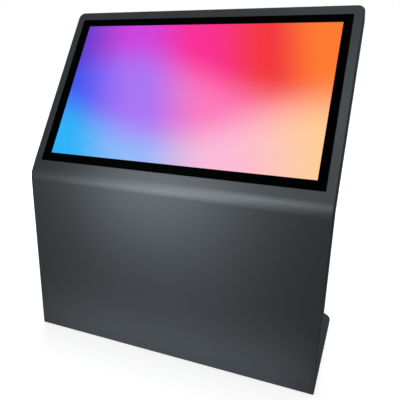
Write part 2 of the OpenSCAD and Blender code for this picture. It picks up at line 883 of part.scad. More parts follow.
// Lower rear panel with the door opening and the mains entry
module panel_section(step) {
    translate([0, body_d + cover_t / 2])
        square([body_w - 2 * (cover_inset + step), cover_t - 2 * step], center = true);
}
module lower_rear_panel() {
    color("#44484c") difference() {
        union() {
            sweep_lower(base_top + cover_gap) panel_section(0);
            sweep_knee() panel_section(bend_step);
        }
        on_lower() layer(body_d - over, cover_t + 2 * over) {
            translate([0, door_mid])
                rounded_rect(door_w - 2 * door_lap, door_h - 2 * door_lap, door_r);
            translate([inlet_x, inlet_z])
                square([inlet_body.x + 2 * play, inlet_body.y + 2 * play], center = true);
            translate([switch_x, inlet_z])
                square([switch_body_size.x + 2 * play, switch_body_size.y + 2 * play], center = true);
            for (p = lower_screws) translate(p) circle(screw_r + play);
        }
    }
}
module lower_panel_screws() {
    color("#2b2d2f") on_lower() for (p = lower_screws) rear_screw(p, cover_out);
}
module door_seal() {
    edge = door_lap - seal_in;
    inner = [door_w - 2 * edge, door_h - 2 * edge];
    color("#202224") on_lower() layer(cover_out, seal_t) translate([0, door_mid]) difference() {
        rounded_rect(inner.x + 2 * seal_w, inner.y + 2 * seal_w, door_r);
        square(inner, center = true);
    }
}

// Hinges: two fixed knuckles and one on the door, round a loose pin
module knuckle(zc, z0, z1) {
    translate([hinge_x, front_y + hinge_d, zc + z0]) cylinder(h = z1 - z0, r = hinge_r);
}
module hinge_bore(zc) {
    translate([hinge_x, front_y + hinge_d, zc - hinge_h]) cylinder(h = 2 * hinge_h, r = pin_r + fit);
}
module hinge_leaf_fixed(zc) {
    inner = knuckle_h / 2 + knuckle_gap;
    outer = hinge_h / 2;
    difference() {
        union() {
            translate([hinge_x - leaf_w, front_y + cover_out, zc - outer])
                cube([leaf_w - leaf_reach, leaf_t, hinge_h]);
            for (z = [[-outer, -inner], [inner, outer]]) {
                translate([hinge_x - leaf_reach, front_y + cover_out, zc + z[0]])
                    cube([leaf_reach, leaf_t, z[1] - z[0]]);
                knuckle(zc, z[0], z[1]);
            }
        }
        hinge_bore(zc);
    }
}
module hinge_leaf_door(zc) {
    inner = knuckle_h / 2;
    difference() {
        union() {
            translate([hinge_x + leaf_reach, front_y + door_out, zc - hinge_h / 2])
                cube([leaf_w - leaf_reach, leaf_t, hinge_h]);
            translate([hinge_x, front_y + door_out, zc - inner]) cube([leaf_reach, leaf_t, knuckle_h]);
            knuckle(zc, -inner, inner);
        }
        hinge_bore(zc);
    }
}
module hinge_leaves() {
    color("#6f7478") for (zc = hinge_zs) hinge_leaf_fixed(zc);
}
module door_hinge_leaves() {
    color("#6f7478") for (zc = hinge_zs) hinge_leaf_door(zc);
}
module hinge_pins() {
    color("#b6b9bc") for (zc = hinge_zs) translate([hinge_x, front_y + hinge_d, zc - hinge_h / 2]) {
        cylinder(h = hinge_h, r = pin_r);
        translate([0, 0, hinge_h]) cylinder(h = pin_head_t, r = pin_head_r);
    }
}

// Service door with a folded rim, air slots and two cam locks
module service_door() {
    rim_w = door_w - 2 * (door_lap + door_rim_room);
    rim_h = door_h - 2 * (door_lap + door_rim_room);
    color("#44484c") on_lower() {
        layer(door_in, door_t) difference() {
            translate([0, door_mid]) rounded_rect(door_w, door_h, door_r);
            for (z = lock_zs) translate([lock_x, z]) circle(lock_r + fit);
            for (c = vent_cols, i = [0:vent_rows - 1])
                translate([c * vent_dx, door_z + vent_top + i * slot_pitch]) slot(slot_l, slot_w);
        }
        layer(door_in - door_rim, door_rim) translate([0, door_mid]) difference() {
            square([rim_w, rim_h], center = true);
            square([rim_w - 2 * door_rim_t, rim_h - 2 * door_rim_t], center = true);
        }
    }
}
module lock_body(z) {
    color("#c9ccce") backwards(lock_x, z, 0) difference() {
        union() {
            translate([0, 0, lock_end]) cylinder(h = door_out - lock_end, r = lock_r);
            translate([0, 0, door_out]) cylinder(h = lock_head_t, r = lock_head_r);
            translate([0, 0, door_in - lock_nut_t]) cylinder(h = lock_nut_t, r = lock_nut_r, $fn = 6);
        }
        translate([0, 0, lock_end - over]) cylinder(h = body_d, r = plug_r + fit);
    }
}
module lock_plug(z) {
    color("#d8dadc") backwards(lock_x, z, 0) difference() {
        translate([0, 0, lock_end - door_gap])
            cylinder(h = door_out + lock_head_t + plug_out - lock_end + door_gap, r = plug_r);
        translate([0, 0, door_out + lock_head_t + plug_out - key_d / 2])
            cube([key_w, key_l, key_d], center = true);
    }
}
module lock_cam(z) {
    color("#b6b9bc") backwards(lock_x, z, lock_end - door_gap - cam_t) {
        linear_extrude(cam_t) {
            circle(cam_w / 2);
            translate([-cam_w / 2, 0]) square([cam_w, cam_l]);
        }
        translate([0, 0, -cam_screw_h]) cylinder(h = cam_screw_h, r = cam_screw_r, $fn = 6);
    }
}
module lock_body_lower() { lock_body(lock_zs[0]); }
module lock_body_upper() { lock_body(lock_zs[1]); }
module lock_plug_lower() { lock_plug(lock_zs[0]); }
module lock_plug_upper() { lock_plug(lock_zs[1]); }
module lock_cam_lower() { lock_cam(lock_zs[0]); }
module lock_cam_upper() { lock_cam(lock_zs[1]); }

// Equipment bay
module component_plate() {
    color("#b9bdc0") on_lower() layer(sheet_t, plate_t) difference() {
        translate([plate_x, plate_z + plate_h / 2]) square([plate_w, plate_h], center = true);
        for (p = plate_points) translate(p) circle(fixing_r + play);
    }
}
module plate_fixings() {
    color("#b6b9bc") on_lower() for (p = plate_points) {
        bar(p, sheet_t, plate_t + fixing_nut_h + fixing_out, fixing_r);
        translate([p.x, p.y, -plate_back - fixing_nut_h])
            cylinder(h = fixing_nut_h, r = fixing_nut_r, $fn = 6);
    }
}
module media_player() {
    mid = [player_x, player_z + player_h / 2];
    hole_l = button_l + button_travel;
    color("#232527") on_lower() difference() {
        layer(plate_back, player_t) translate(mid) rounded_rect(player_w, player_h, player_r);
        layer(player_back - player_seam_in, player_seam) translate(mid) difference() {
            square([player_w + over, player_h + over], center = true);
            rounded_rect(player_w - 2 * player_seam, player_h - 2 * player_seam, player_r - player_seam);
        }
        for (i = [-3:3]) layer(player_back - player_slot_d, player_slot_d + over)
            translate([player_slot_x, mid.y + i * player_slot_dz]) slot(player_slot.x, player_slot.y);
        for (x = player_ports) layer(plate_back + player_port_in, player_port.z)
            translate([player_x + x, player_z]) square([player_port.x, 2 * player_port.y], center = true);
        bar([button_x, button_z], player_back - hole_l, hole_l + over, button_r + fit);
    }
}
module player_button() {
    front = player_back - button_l + button_out;
    color("#c9ccce") on_lower() bar([button_x, button_z], front, button_l, button_r);
}
module power_supply() {
    mid = [psu_x, psu_z + psu_h / 2];
    color("#b9bdc0") on_lower() difference() {
        layer(plate_back, psu_t) translate(mid) square([psu_w, psu_h], center = true);
        for (i = [-4:4], j = [-2:2]) layer(plate_back + psu_t - psu_hole_d, psu_hole_d + over)
            translate([mid.x + j * psu_hole_dx, mid.y + psu_hole_up + i * psu_hole_dz]) circle(psu_hole_r);
        layer(psu_notch_d, psu_t) translate([psu_x, psu_z])
            square([psu_notch.x, 2 * psu_notch.y], center = true);
    }
}
// Terminal strip in the notch of the power supply: a base with walls between the bays
module terminal_strip() {
    l = terminal_n * terminal_dx + terminal_wall;
    color("#17181a") on_lower() translate([psu_x, psu_z + psu_notch.y / 2, 0]) {
        layer(psu_notch_d, terminal_t) square([l + 2 * terminal_edge, terminal_h], center = true);
        for (i = [0:terminal_n]) layer(psu_notch_d + terminal_t / 2, terminal_t / 2 + terminal_out)
            translate([(i - terminal_n / 2) * terminal_dx, 0])
                square([terminal_wall, terminal_h - 2 * terminal_edge], center = true);
    }
}

// Mains inlet and rocker switch
module inlet_outline(size, cut) {
    polygon([
        [-size.x / 2, size.y / 2], [-size.x / 2, cut - size.y / 2], [cut - size.x / 2, -size.y / 2],
        [size.x / 2 - cut, -size.y / 2], [size.x / 2, cut - size.y / 2], [size.x / 2, size.y / 2]
    ]);
}
module power_inlet() {
    color("#17181a") backwards(inlet_x, inlet_z, cover_out) difference() {
        union() {
            linear_extrude(inlet_flange.z) rounded_rect(inlet_flange.x, inlet_flange.y, inlet_r);
            translate([0, 0, -inlet_body.z]) linear_extrude(inlet_body.z)
                square([inlet_body.x, inlet_body.y], center = true);
        }
        translate([0, 0, inlet_flange.z - inlet_mouth.z]) linear_extrude(inlet_mouth.z + over)
            inlet_outline(inlet_mouth, inlet_mouth_cut);
        for (s = [-1, 1]) translate([s * inlet_screw_dx, 0, -over])
            cylinder(h = inlet_flange.z + 2 * over, r = screw_r);
    }
}
module inlet_pins() {
    floor_z = inlet_flange.z - inlet_mouth.z;
    places = [[0, inlet_pin_low], [-inlet_pin_dx, inlet_pin_high], [inlet_pin_dx, inlet_pin_high]];
    color("#cfd2d4") backwards(inlet_x, inlet_z, cover_out + floor_z) linear_extrude(inlet_pin.z)
        for (p = places) translate(p) square([inlet_pin.x, inlet_pin.y], center = true);
}
module switch_body() {
    color("#17181a") backwards(switch_x, inlet_z, cover_out) difference() {
        union() {
            linear_extrude(switch_bezel.z) rounded_rect(switch_bezel.x, switch_bezel.y, switch_r);
            translate([0, 0, -switch_body_size.z]) linear_extrude(switch_body_size.z)
                square([switch_body_size.x, switch_body_size.y], center = true);
        }
        translate([0, 0, -rocker_room]) linear_extrude(rocker_room + switch_bezel.z + over)
            square(rocker_hole, center = true);
        translate([0, 0, rocker_pivot]) rotate([0, 90, 0])
            cylinder(h = rocker_hole.x + 2 * rocker_pin_l, r = rocker_pin_r + fit, center = true);
    }
}
module switch_rocker() {
    rise = rocker_r * tan(rocker_tilt);
    color("#2a2c2e") backwards(switch_x, inlet_z, cover_out + rocker_pivot) rotate([rocker_tilt, 0, 0]) {
        rotate([90, 0, 90]) linear_extrude(rocker_w, center = true) intersection() {
            circle(rocker_r);
            polygon([
                [-rocker_r, rocker_mid + rise], [0, rocker_mid], [rocker_r, rocker_mid + rise],
                [rocker_r, -rocker_side], [rocker_foot_w, -rocker_foot], [-rocker_foot_w, -rocker_foot],
                [-rocker_r, -rocker_side]
            ]);
        }
        rotate([0, 90, 0])
            cylinder(h = rocker_hole.x + 2 * rocker_pin_l - play, r = rocker_pin_r, center = true);
    }
}

// Leads: a round tube swept along a curve through the points of a route; each stretch takes its
// tangents from the points beside it, scaled to its own length
function unit(a) = a / norm(a);
function curve(p0, p1, p2, p3, t) = let (reach = norm(p2 - p1))
    p1 + (p2 - p1) * t * t * (3 - 2 * t)
    + reach * unit(p2 - p0) * t * (1 - t) * (1 - t)
    - reach * unit(p3 - p1) * t * t * (1 - t);
function smooth(route) = let (last = len(route) - 1) concat(
    [for (i = [0:last - 1], k = [0:lead_steps - 1])
        curve(route[max(i - 1, 0)], route[i], route[i + 1], route[min(i + 2, last)], k / lead_steps)],
    [route[last]]
);
function heading(path, route, i) =
    i == 0 ? unit(route[1] - route[0]) :
    i == len(path) - 1 ? unit(route[len(route) - 1] - route[len(route) - 2]) :
    unit(path[i + 1] - path[i - 1]);
function ring(centre, along, r) = let (
    a = unit(cross(along, lead_ref)),
    b = cross(along, a)
) [for (t = [0:360 / lead_sides:359]) centre + r * (cos(t) * a + sin(t) * b)];
module lead(route, r) {
    path = smooth(route);
    n = lead_sides;
    last = len(path) - 1;
    points = [for (i = [0:last]) each ring(path[i], heading(path, route, i), r)];
    sides = [for (i = [0:last - 1], j = [0:n - 1]) each let (k = (j + 1) % n) [
        [i * n + j, (i + 1) * n + j, (i + 1) * n + k],
        [i * n + j, (i + 1) * n + k, i * n + k]
    ]];
    ends = [[for (j = [0:n - 1]) j], [for (j = [n - 1:-1:0]) last * n + j]];
    polyhedron(points, concat(sides, ends));
}
module mains_lead() {
    color("#1a1a1c") {
        lead(link_route, mains_r);
        lead(mains_route, mains_r);
    }
}
module display_lead() { color("#1a1a1c") lead(display_route, lead_r); }
module video_lead() { color("#1a1a1c") lead(video_route, lead_r); }
// Saddle clips on the back of the front sheet; turn is 90 where the lead rises
module clip(p, r, turn) {
    hole = r + play;
    height = run_d + hole + clip_wall - sheet_t;
    on_lower() translate([p.x, p.y, -sheet_t - height]) rotate(turn) difference() {
        translate([-clip_l / 2, -hole - clip_wall, 0]) cube([clip_l, 2 * (hole + clip_wall), height]);
        translate([0, 0, hole + clip_wall]) rotate([0, 90, 0])
            cylinder(h = clip_l + 2 * over, r = hole, center = true);
    }
}
module cable_clips() {
    color("#e4e6e7") {
        for (p = run_clips) clip(p, mains_r, 0);
        for (p = rise_clips) clip(p, lead_r, 90);
    }
}

front_shell();
base_plate();
foot_pads();
base_angle_left();
base_angle_right();
base_bolts();
cable_grommet();
side_frame_left();
side_frame_right();
cover_glass();
glass_tape();
display_frame();
frame_studs();
frame_nuts();
lcd_panel();
light_guide();
backlight_tray();
display_rail_lower();
display_rail_upper();
rail_screws();
driver_board();
touch_board();
upper_rear_cover();
upper_cover_screws();
fan_frame_left();
fan_frame_right();
fan_rotor_left();
fan_rotor_right();
fan_screws();
lower_rear_panel();
lower_panel_screws();
door_seal();
hinge_leaves();
hinge_pins();
service_door();
door_hinge_leaves();
lock_body_upper();
lock_body_lower();
lock_plug_upper();
lock_plug_lower();
lock_cam_upper();
lock_cam_lower();
component_plate();
plate_fixings();
media_player();
player_button();
power_supply();
terminal_strip();
power_inlet();
inlet_pins();
switch_body();
switch_rocker();
mains_lead();
display_lead();
video_lead();
cable_clips();
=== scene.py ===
"""Looks of a free-standing touch kiosk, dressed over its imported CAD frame.

Metres, +Z up, the front faces -Y. CAD nodes keep their shapes and get finishes. Screws, the door
seal, leads and small equipment details are pieces of their own, which ride on the bodies of the
frame.
"""

import json
import logging
import math
from dataclasses import dataclass
from enum import Enum
from functools import cached_property
from typing import Iterable, Sequence

import bmesh
import bpy
from mathutils import Euler, Matrix, Vector


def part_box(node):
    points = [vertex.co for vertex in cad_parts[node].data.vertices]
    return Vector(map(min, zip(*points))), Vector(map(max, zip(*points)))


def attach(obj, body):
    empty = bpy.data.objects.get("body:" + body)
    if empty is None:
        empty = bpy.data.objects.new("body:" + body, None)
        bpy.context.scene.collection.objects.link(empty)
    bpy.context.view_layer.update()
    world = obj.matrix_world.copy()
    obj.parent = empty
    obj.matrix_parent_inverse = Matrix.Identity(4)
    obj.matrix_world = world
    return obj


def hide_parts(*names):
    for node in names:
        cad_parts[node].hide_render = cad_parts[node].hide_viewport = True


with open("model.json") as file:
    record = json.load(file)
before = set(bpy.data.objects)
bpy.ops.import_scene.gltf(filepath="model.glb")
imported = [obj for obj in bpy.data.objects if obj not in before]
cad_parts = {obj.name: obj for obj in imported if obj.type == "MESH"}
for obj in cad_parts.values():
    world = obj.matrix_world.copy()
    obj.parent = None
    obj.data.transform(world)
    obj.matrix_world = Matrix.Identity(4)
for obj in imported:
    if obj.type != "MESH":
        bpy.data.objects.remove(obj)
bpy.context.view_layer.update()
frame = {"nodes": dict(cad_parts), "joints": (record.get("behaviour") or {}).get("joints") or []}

LOG = logging.getLogger("kiosk")

Piece = bpy.types.Object
Mesh = bpy.types.Mesh
Material = bpy.types.Material
Node = bpy.types.Node
Socket = bpy.types.NodeSocket
Shape = bmesh.types.BMesh
Pair = tuple[float, float]
Point = tuple[float, float, float]
Colour = tuple[float, float, float]
Stop = tuple[float, Colour]

MM = 0.001
SIDES = (-1, 1)
BLACK = (0.0, 0.0, 0.0)
WHITE = (1.0, 1.0, 1.0, 1.0)
# Most of a noise texture lies between these values.
NOISE_LOW = 0.3
NOISE_HIGH = 0.7
# Screws are driven by six-sided sockets.
SOCKET_FLATS = 6
# Edges above this angle, in degrees, stay sharp.
CREASE = 35.0
# Heights, in mm, where the two front faces would meet and where the mains entry is.
FACES_MEET = 625.0
MAINS_RISE = 75.0
# Depth of the outer side of the rear covers behind the front face, in mm.
COVER_OUT = 56.5


class Body(Enum):
    """Bodies of the frame that carry pieces made here."""

    STAND = "stand"
    DOOR = "door"
    ROCKER = "rocker"


class Slot(Enum):
    """Material slots of the record, which each role names; the finish itself comes from the role's
    finish.
    """

    SCREWS = "black_screws"
    BRIGHT = "bright_steel"
    RUBBER = "black_rubber"
    JACKET = "lead_jacket"
    NYLON = "nylon"


class LampUse(Enum):
    """What a studio lamp is there for: light without a mirror image, or only the image."""

    FILL = "fill"
    GLOSS = "gloss"


class TreeBuilder:
    """A node tree under construction."""

    def __init__(self, tree: bpy.types.NodeTree) -> None:
        """Start on a tree."""
        self.tree = tree

    def feed(self, target: Socket, value: object) -> None:
        """Fill an input.

        Args:
            target: The input.
            value: A constant or another node's output.
        """
        if isinstance(value, Socket):
            self.tree.links.new(value, target)
        else:
            target.default_value = value

    def add(self, kind: str, *values: object, **named: object) -> Node:
        """Add a node.

        Args:
            kind: Node type.
            *values: Constants or sockets for its first enabled inputs, in order.
            **named: Properties in lower case, then inputs by name, spaces written as underscores.

        Returns:
            The new node.
        """
        node = self.tree.nodes.new(kind)
        for key, value in named.items():
            if key.islower():
                setattr(node, key, value)
            else:
                name = key.replace("_", " ")
                self.feed(next(s for s in node.inputs if s.name == name and s.enabled), value)
        for target, value in zip([s for s in node.inputs if s.enabled], values):
            self.feed(target, value)
        return node

    def step(self, kind: str, *values: object, **named: object) -> Socket:
        """Add a node as add does, and give its first enabled output."""
        return next(s for s in self.add(kind, *values, **named).outputs if s.enabled)


class Shader(TreeBuilder):
    """Node tree of one material: a Principled surface fed by patterns on Object coordinates."""

    def __init__(self, name: str) -> None:
        """Start a material with an empty Principled surface.

        Args:
            name: Name of the material.
        """
        self.material = bpy.data.materials.new(name)
        self.material.use_nodes = True
        super().__init__(self.material.node_tree)
        self.tree.nodes.clear()
        self.bsdf = self.add("ShaderNodeBsdfPrincipled")
        self.add("ShaderNodeOutputMaterial", self.bsdf.outputs[0])
        self.place = self.add("ShaderNodeTexCoord").outputs["Object"]

    def surface(self, **values: object) -> None:
        """Set inputs of the Principled surface, with spaces written as underscores."""
        for key, value in values.items():
            self.feed(self.bsdf.inputs[key.replace("_", " ")], value)

    def math(self, operation: str, *values: object) -> Socket:
        """Work out constants or sockets with a Math node."""
        return self.step("ShaderNodeMath", *values, operation=operation)

    def along(self, direction: Sequence[float], origin: float) -> Socket:
        """Measure Object coordinates along a unit direction, in metres from an origin on it."""
        reach = self.step("ShaderNodeVectorMath", self.place, direction, operation="DOT_PRODUCT")
        return self.math("SUBTRACT", reach, origin)

    def sideways(self) -> Socket:
        """Tell how far a face of the piece looks to the left or right, from 0 to 1."""
        normal = self.add("ShaderNodeTexCoord").outputs["Normal"]
        return self.math("ABSOLUTE", self.step("ShaderNodeSeparateXYZ", normal))

    def noise(self, scale: float, detail: float = 2.0, where: Socket | None = None) -> Socket:
        """Add noise, about 0 to 1, of so many bumps per metre and octaves."""
        place = where or self.place
        return self.step("ShaderNodeTexNoise", Vector=place, Scale=scale, Detail=detail)

    def streaks(self, scale: Point, detail: float = 2.0) -> Socket:
        """Add noise with its own number of bumps per metre along each axis."""
        place = self.step("ShaderNodeMapping", Vector=self.place, Scale=scale)
        return self.noise(1.0, detail, place)

    def ramp(self, value: Socket, stops: Sequence[Stop]) -> Socket:
        """Turn a value into a colour.

        Args:
            value: Value from 0 to 1.
            stops: Places and colours.

        Returns:
            The colour.
        """
        node = self.add("ShaderNodeValToRGB", value)
        bar = node.color_ramp
        bar.interpolation = "EASE"
        while len(bar.elements) < len(stops):
            bar.elements.new(1.0)
        for element, (place, colour) in zip(bar.elements, stops):
            element.position = place
            element.color = (*colour, 1.0)
        return node.outputs[0]

    def spread(self, value: Socket, low: float, high: float) -> Socket:
        """Map the middle of a noise's range to another range."""
        return self.step("ShaderNodeMapRange", value, NOISE_LOW, NOISE_HIGH, low, high)

    def mix(self, share: Socket, first: Socket | Colour, second: Socket | Colour) -> Socket:
        """Mix two colours by the share of the second."""
        colours = [c if isinstance(c, Socket) else (*c, 1.0) for c in (first, second)]
        return self.step("ShaderNodeMix", share, *colours, data_type="RGBA")

    def bump(self, height: Socket, strength: float, depth: float) -> None:
        """Roughen the surface with a pattern of heights, as deep as given in metres."""
        relief = self.step("ShaderNodeBump", Strength=strength, Distance=depth, Height=height)
        self.surface(Normal=relief)


def shade(colour: Colour, factor: float) -> Colour:
    """Make a colour lighter or darker."""
    return tuple(min(1.0, part * factor) for part in colour)


@dataclass(frozen=True)
class Finish:
    """A surface finish: how one material looks."""

    name: str
    colour: Colour
    roughness: float

    @cached_property
    def shader(self) -> Shader:
        """Node tree of the material, started on first use."""
        return Shader(self.name)

    @cached_property
    def material(self) -> Material:
        """The material, painted on first use."""
        self.paint()
        return self.shader.material

    def paint(self) -> None:
        """Feed the surface."""
        raise NotImplementedError

    def dress(self, *nodes: str) -> None:
        """Give CAD nodes this finish.

        Args:
            *nodes: Names of the nodes.
        """
        for name in nodes:
            mesh = frame["nodes"][name].data
            mesh.materials.clear()
            mesh.materials.append(self.material)
            LOG.info("node %s: %s", name, self.name)


@dataclass(frozen=True)
class Mottled(Finish):
    """A finish whose colour drifts each way in patches and whose roughness follows a pattern."""

    patches: float = 30.0
    detail: float = 2.0
    drift: float = 0.06
    play: float = 0.06

    def tone(self) -> None:
        """Let the base colour drift a little."""
        dark, light = (shade(self.colour, 1 + part) for part in (-self.drift, self.drift))
        patches = self.shader.noise(self.patches, self.detail)
        stops = ((NOISE_LOW, dark), (NOISE_HIGH, light))
        self.shader.surface(Base_Color=self.shader.ramp(patches, stops))

    def rough(self, pattern: Socket) -> Socket:
        """Let the roughness play each way with a pattern."""
        return self.shader.spread(pattern, self.roughness - self.play, self.roughness + self.play)


@dataclass(frozen=True)
class PowderCoat(Mottled):
    """Baked powder paint on sheet steel: satin, with a very fine orange peel."""

    patches: float = 1.7
    detail: float = 3.0
    drift: float = 0.05
    play: float = 0.04
    specular: float = 0.078
    tint: Colour = (0.86, 0.95, 1.0)
    speckle: float = 240.0
    peel: float = 0.0012
    relief: float = 0.35
    depth: float = 0.00004
    matt_sides: bool = False

    def paint(self) -> None:
        """Feed the surface."""
        shader = self.shader
        self.tone()
        rough = self.rough(shader.noise(self.speckle))
        if self.matt_sides:
            rough = shader.math("MAXIMUM", rough, shader.sideways())
        shader.surface(
            Roughness=rough, Specular_IOR_Level=self.specular, Specular_Tint=(*self.tint, 1.0)
        )
        shader.bump(shader.noise(1 / self.peel), self.relief, self.depth)


@dataclass(frozen=True)
class PlatedSteel(Mottled):
    """Zinc-plated or bare sheet, with rolling streaks along one axis."""

    patches: float = 45.0
    drift: float = 0.07
    play: float = 0.08
    streak: Point = (6.0, 400.0, 400.0)
    streak_detail: float = 3.0
    relief: float = 0.2
    depth: float = 0.00003

    def paint(self) -> None:
        """Feed the surface."""
        shader = self.shader
        self.tone()
        streaks = shader.streaks(self.streak, self.streak_detail)
        shader.surface(Metallic=1.0, Roughness=self.rough(streaks))
        shader.bump(streaks, self.relief, self.depth)


@dataclass(frozen=True)
class PolishedMetal(Mottled):
    """Chrome, nickel or turned aluminium with faint handling marks."""

    patches: float = 220.0
    drift: float = 0.03
    marks: Point = (900.0, 900.0, 120.0)
    share: float = 0.3

    def paint(self) -> None:
        """Feed the surface."""
        shader = self.shader
        self.tone()
        low, high = (self.roughness * (1 + part) for part in (-self.share, self.share))
        marks = shader.streaks(self.marks)
        shader.surface(Metallic=1.0, Roughness=shader.spread(marks, low, high))


@dataclass(frozen=True)
class Moulding(Mottled):
    """Moulded plastic, rubber or foam, with a grain of its own size."""

    grain: float = 0.0006
    relief: float = 0.4
    depth: float = 0.00004
    specular: float = 0.4

    def paint(self) -> None:
        """Feed the surface."""
        shader = self.shader
        self.tone()
        texture = shader.noise(1 / self.grain)
        shader.surface(Roughness=self.rough(texture), Specular_IOR_Level=self.specular)
        shader.bump(texture, self.relief, self.depth)


@dataclass(frozen=True)
class LampLens(Mottled):
    """A small lit indicator lens."""

    patches: float = 800.0
    drift: float = 0.08
    strength: float = 1.0

    def paint(self) -> None:
        """Feed the surface."""
        self.tone()
        self.shader.surface(
            Emission_Color=(*self.colour, 1.0),
            Emission_Strength=self.strength,
            Roughness=self.roughness,
        )


@dataclass(frozen=True)
class CircuitBoard(Finish):
    """Solder mask over copper tracks, with tinned pads."""

    track: Colour = (0.05, 0.26, 0.12)
    tracks: float = 160.0
    track_width: float = 0.05
    pad: Colour = (0.72, 0.7, 0.62)
    pads: float = 190.0
    pad_size: float = 0.2
    relief: float = 0.3
    depth: float = 0.00003

    def paint(self) -> None:
        """Feed the surface."""
        shader = self.shader
        place, gap = shader.place, self.track_width
        bricks = shader.add("ShaderNodeTexBrick", Vector=place, Scale=self.tracks, Mortar_Size=gap)
        lines = bricks.outputs["Fac"]
        cells = shader.step("ShaderNodeTexVoronoi", Vector=place, Scale=self.pads)
        pads = shader.math("LESS_THAN", cells, self.pad_size)
        mask = shader.mix(lines, self.colour, self.track)
        shader.surface(Base_Color=shader.mix(pads, mask, self.pad), Roughness=self.roughness)
        shader.bump(lines, self.relief, self.depth)


@dataclass(frozen=True)
class Face:
    """A flat front face of the body: x across, up along the face and out of the face."""

    origin: Vector
    up: Vector
    out: Vector

    @classmethod
    def looking(cls, out: Vector, foot: float) -> "Face":
        """The front face that looks in a direction and starts at a height in mm."""
        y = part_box("front_shell")[0][1]
        return cls(Vector((0, y, foot * MM)), Vector((0, out.z, -out.y)), out)

    def point(self, x: float, rise: float, depth: float) -> Vector:
        """A point of the row frame, from mm across, up along the face and behind it."""
        return self.origin + MM * (Vector((x, 0, 0)) + rise * self.up - depth * self.out)

    def turn(self) -> Matrix:
        """A rotation whose z axis leaves the face backwards."""
        axis = -self.out
        return Matrix((self.up.cross(axis), self.up, axis)).transposed()


# The lower face is upright, and the upper one leans as the fan axes do.
FAN_AXIS = next(j["axis"] for j in frame["joints"] if j["name"] == "fan_left_spin")
LOWER = Face.looking(Vector((0, -1, 0)), 0.0)
UPPER = Face.looking(Vector(FAN_AXIS).normalized(), FACES_MEET)


@dataclass(frozen=True)
class ScreenGlass(Finish):
    """Cover glass with a black printed border round a lit picture of soft coloured waves."""

    specular: float = 0.005
    strength: float = 1.0
    width: float = 936 * MM
    height: float = 532 * MM
    across: float = 3 * MM
    middle: float = 352.5 * MM
    pitch: float = 5.2
    swing: float = 0.13
    softness: float = 0.22
    slant: float = 0.12
    upper_wave: Pair = (0.62, 0.4)
    lower_wave: Pair = (0.3, 2.6)
    top: tuple[Stop, ...] = (
        (0.0, (0.12, 0.05, 0.62)),
        (0.3, (0.62, 0.06, 0.72)),
        (0.55, (0.95, 0.03, 0.3)),
        (0.8, (0.9, 0.04, 0.05)),
        (1.0, (1.0, 0.2, 0.03)),
    )
    centre: tuple[Stop, ...] = (
        (0.0, (0.06, 0.1, 0.9)),
        (0.3, (0.4, 0.18, 0.92)),
        (0.6, (0.98, 0.2, 0.5)),
        (1.0, (1.0, 0.32, 0.16)),
    )
    bottom: tuple[Stop, ...] = (
        (0.0, (0.03, 0.45, 0.95)),
        (0.3, (0.3, 0.5, 0.97)),
        (0.62, (0.98, 0.5, 0.68)),
        (1.0, (1.0, 0.62, 0.3)),
    )

    def wave(self, u: Socket, v: Socket, place: float, turn: float) -> Socket:
        """Mask of what lies below a soft wave across the picture.

        Args:
            u: Place across the picture, 0 to 1.
            v: Place up the picture, 0 to 1.
            place: Middle height of the wave.
            turn: Start of the wave, in radians.

        Returns:
            1 below the wave and 0 above it.
        """
        shader = self.shader
        swing = shader.math("SINE", shader.math("MULTIPLY_ADD", u, self.pitch, turn))
        crest = shader.math("MULTIPLY_ADD", swing, self.swing, place)
        return shader.step(
            "ShaderNodeMapRange",
            shader.math("SUBTRACT", crest, v),
            -self.softness,
            self.softness,
            interpolation_type="SMOOTHERSTEP",
        )

    def paint(self) -> None:
        """Feed the surface."""
        shader = self.shader
        half = 0.5
        right = shader.along((1, 0, 0), self.across)
        rise = shader.along(UPPER.up, UPPER.up.dot(UPPER.origin) + self.middle)
        u = shader.math("MULTIPLY_ADD", right, 1 / self.width, half)
        v = shader.math("MULTIPLY_ADD", rise, 1 / self.height, half)
        start = shader.math("SUBTRACT", u, self.slant / 2)
        slanted = shader.math("MULTIPLY_ADD", v, self.slant, start)
        bands = (self.top, self.centre, self.bottom)
        top, centre, bottom = (shader.ramp(slanted, stops) for stops in bands)
        picture = shader.mix(self.wave(u, v, *self.upper_wave), top, centre)
        picture = shader.mix(self.wave(u, v, *self.lower_wave), picture, bottom)
        inside = [shader.math("COMPARE", place, half, half) for place in (u, v)]
        shader.surface(
            Base_Color=(*self.colour, 1.0),
            Roughness=self.roughness,
            Specular_IOR_Level=self.specular,
            Emission_Color=shader.mix(shader.math("MULTIPLY", *inside), BLACK, picture),
            Emission_Strength=self.strength,
        )


@dataclass(frozen=True)
class Role:
    """What a piece is made of, what it rides on and which CAD nodes it stands for."""

    finish: Finish
    body: Body
    slot: Slot
    stands_for: tuple[str, ...] = ()

    def place(self, piece: Piece) -> None:
        """Finish a piece and set it on its body.

        Args:
            piece: Object with its place in its mesh.
        """
        piece.data.materials.clear()
        piece.data.materials.append(self.finish.material)
        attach(piece, self.body.value)
        if self.stands_for:
            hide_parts(*self.stands_for)
        LOG.info("piece %s on %s", piece.name, self.body.value)


def link(name: str, data: bpy.types.ID) -> Piece:
    """Put a mesh, lamp or camera into the scene.

    Args:
        name: Name of the object.
        data: What it holds.

    Returns:
        The object, at the origin.
    """
    piece = bpy.data.objects.new(name, data)
    bpy.context.scene.collection.objects.link(piece)
    return piece


def to_mesh(name: str, shape: Shape) -> Mesh:
    """Turn a bmesh into a mesh with its faces outwards.

    Args:
        name: Name of the mesh.
        shape: The bmesh, which is freed.

    Returns:
        The mesh.
    """
    bmesh.ops.recalc_face_normals(shape, faces=shape.faces)
    mesh = bpy.data.meshes.new(name)
    shape.to_mesh(mesh)
    shape.free()
    return mesh


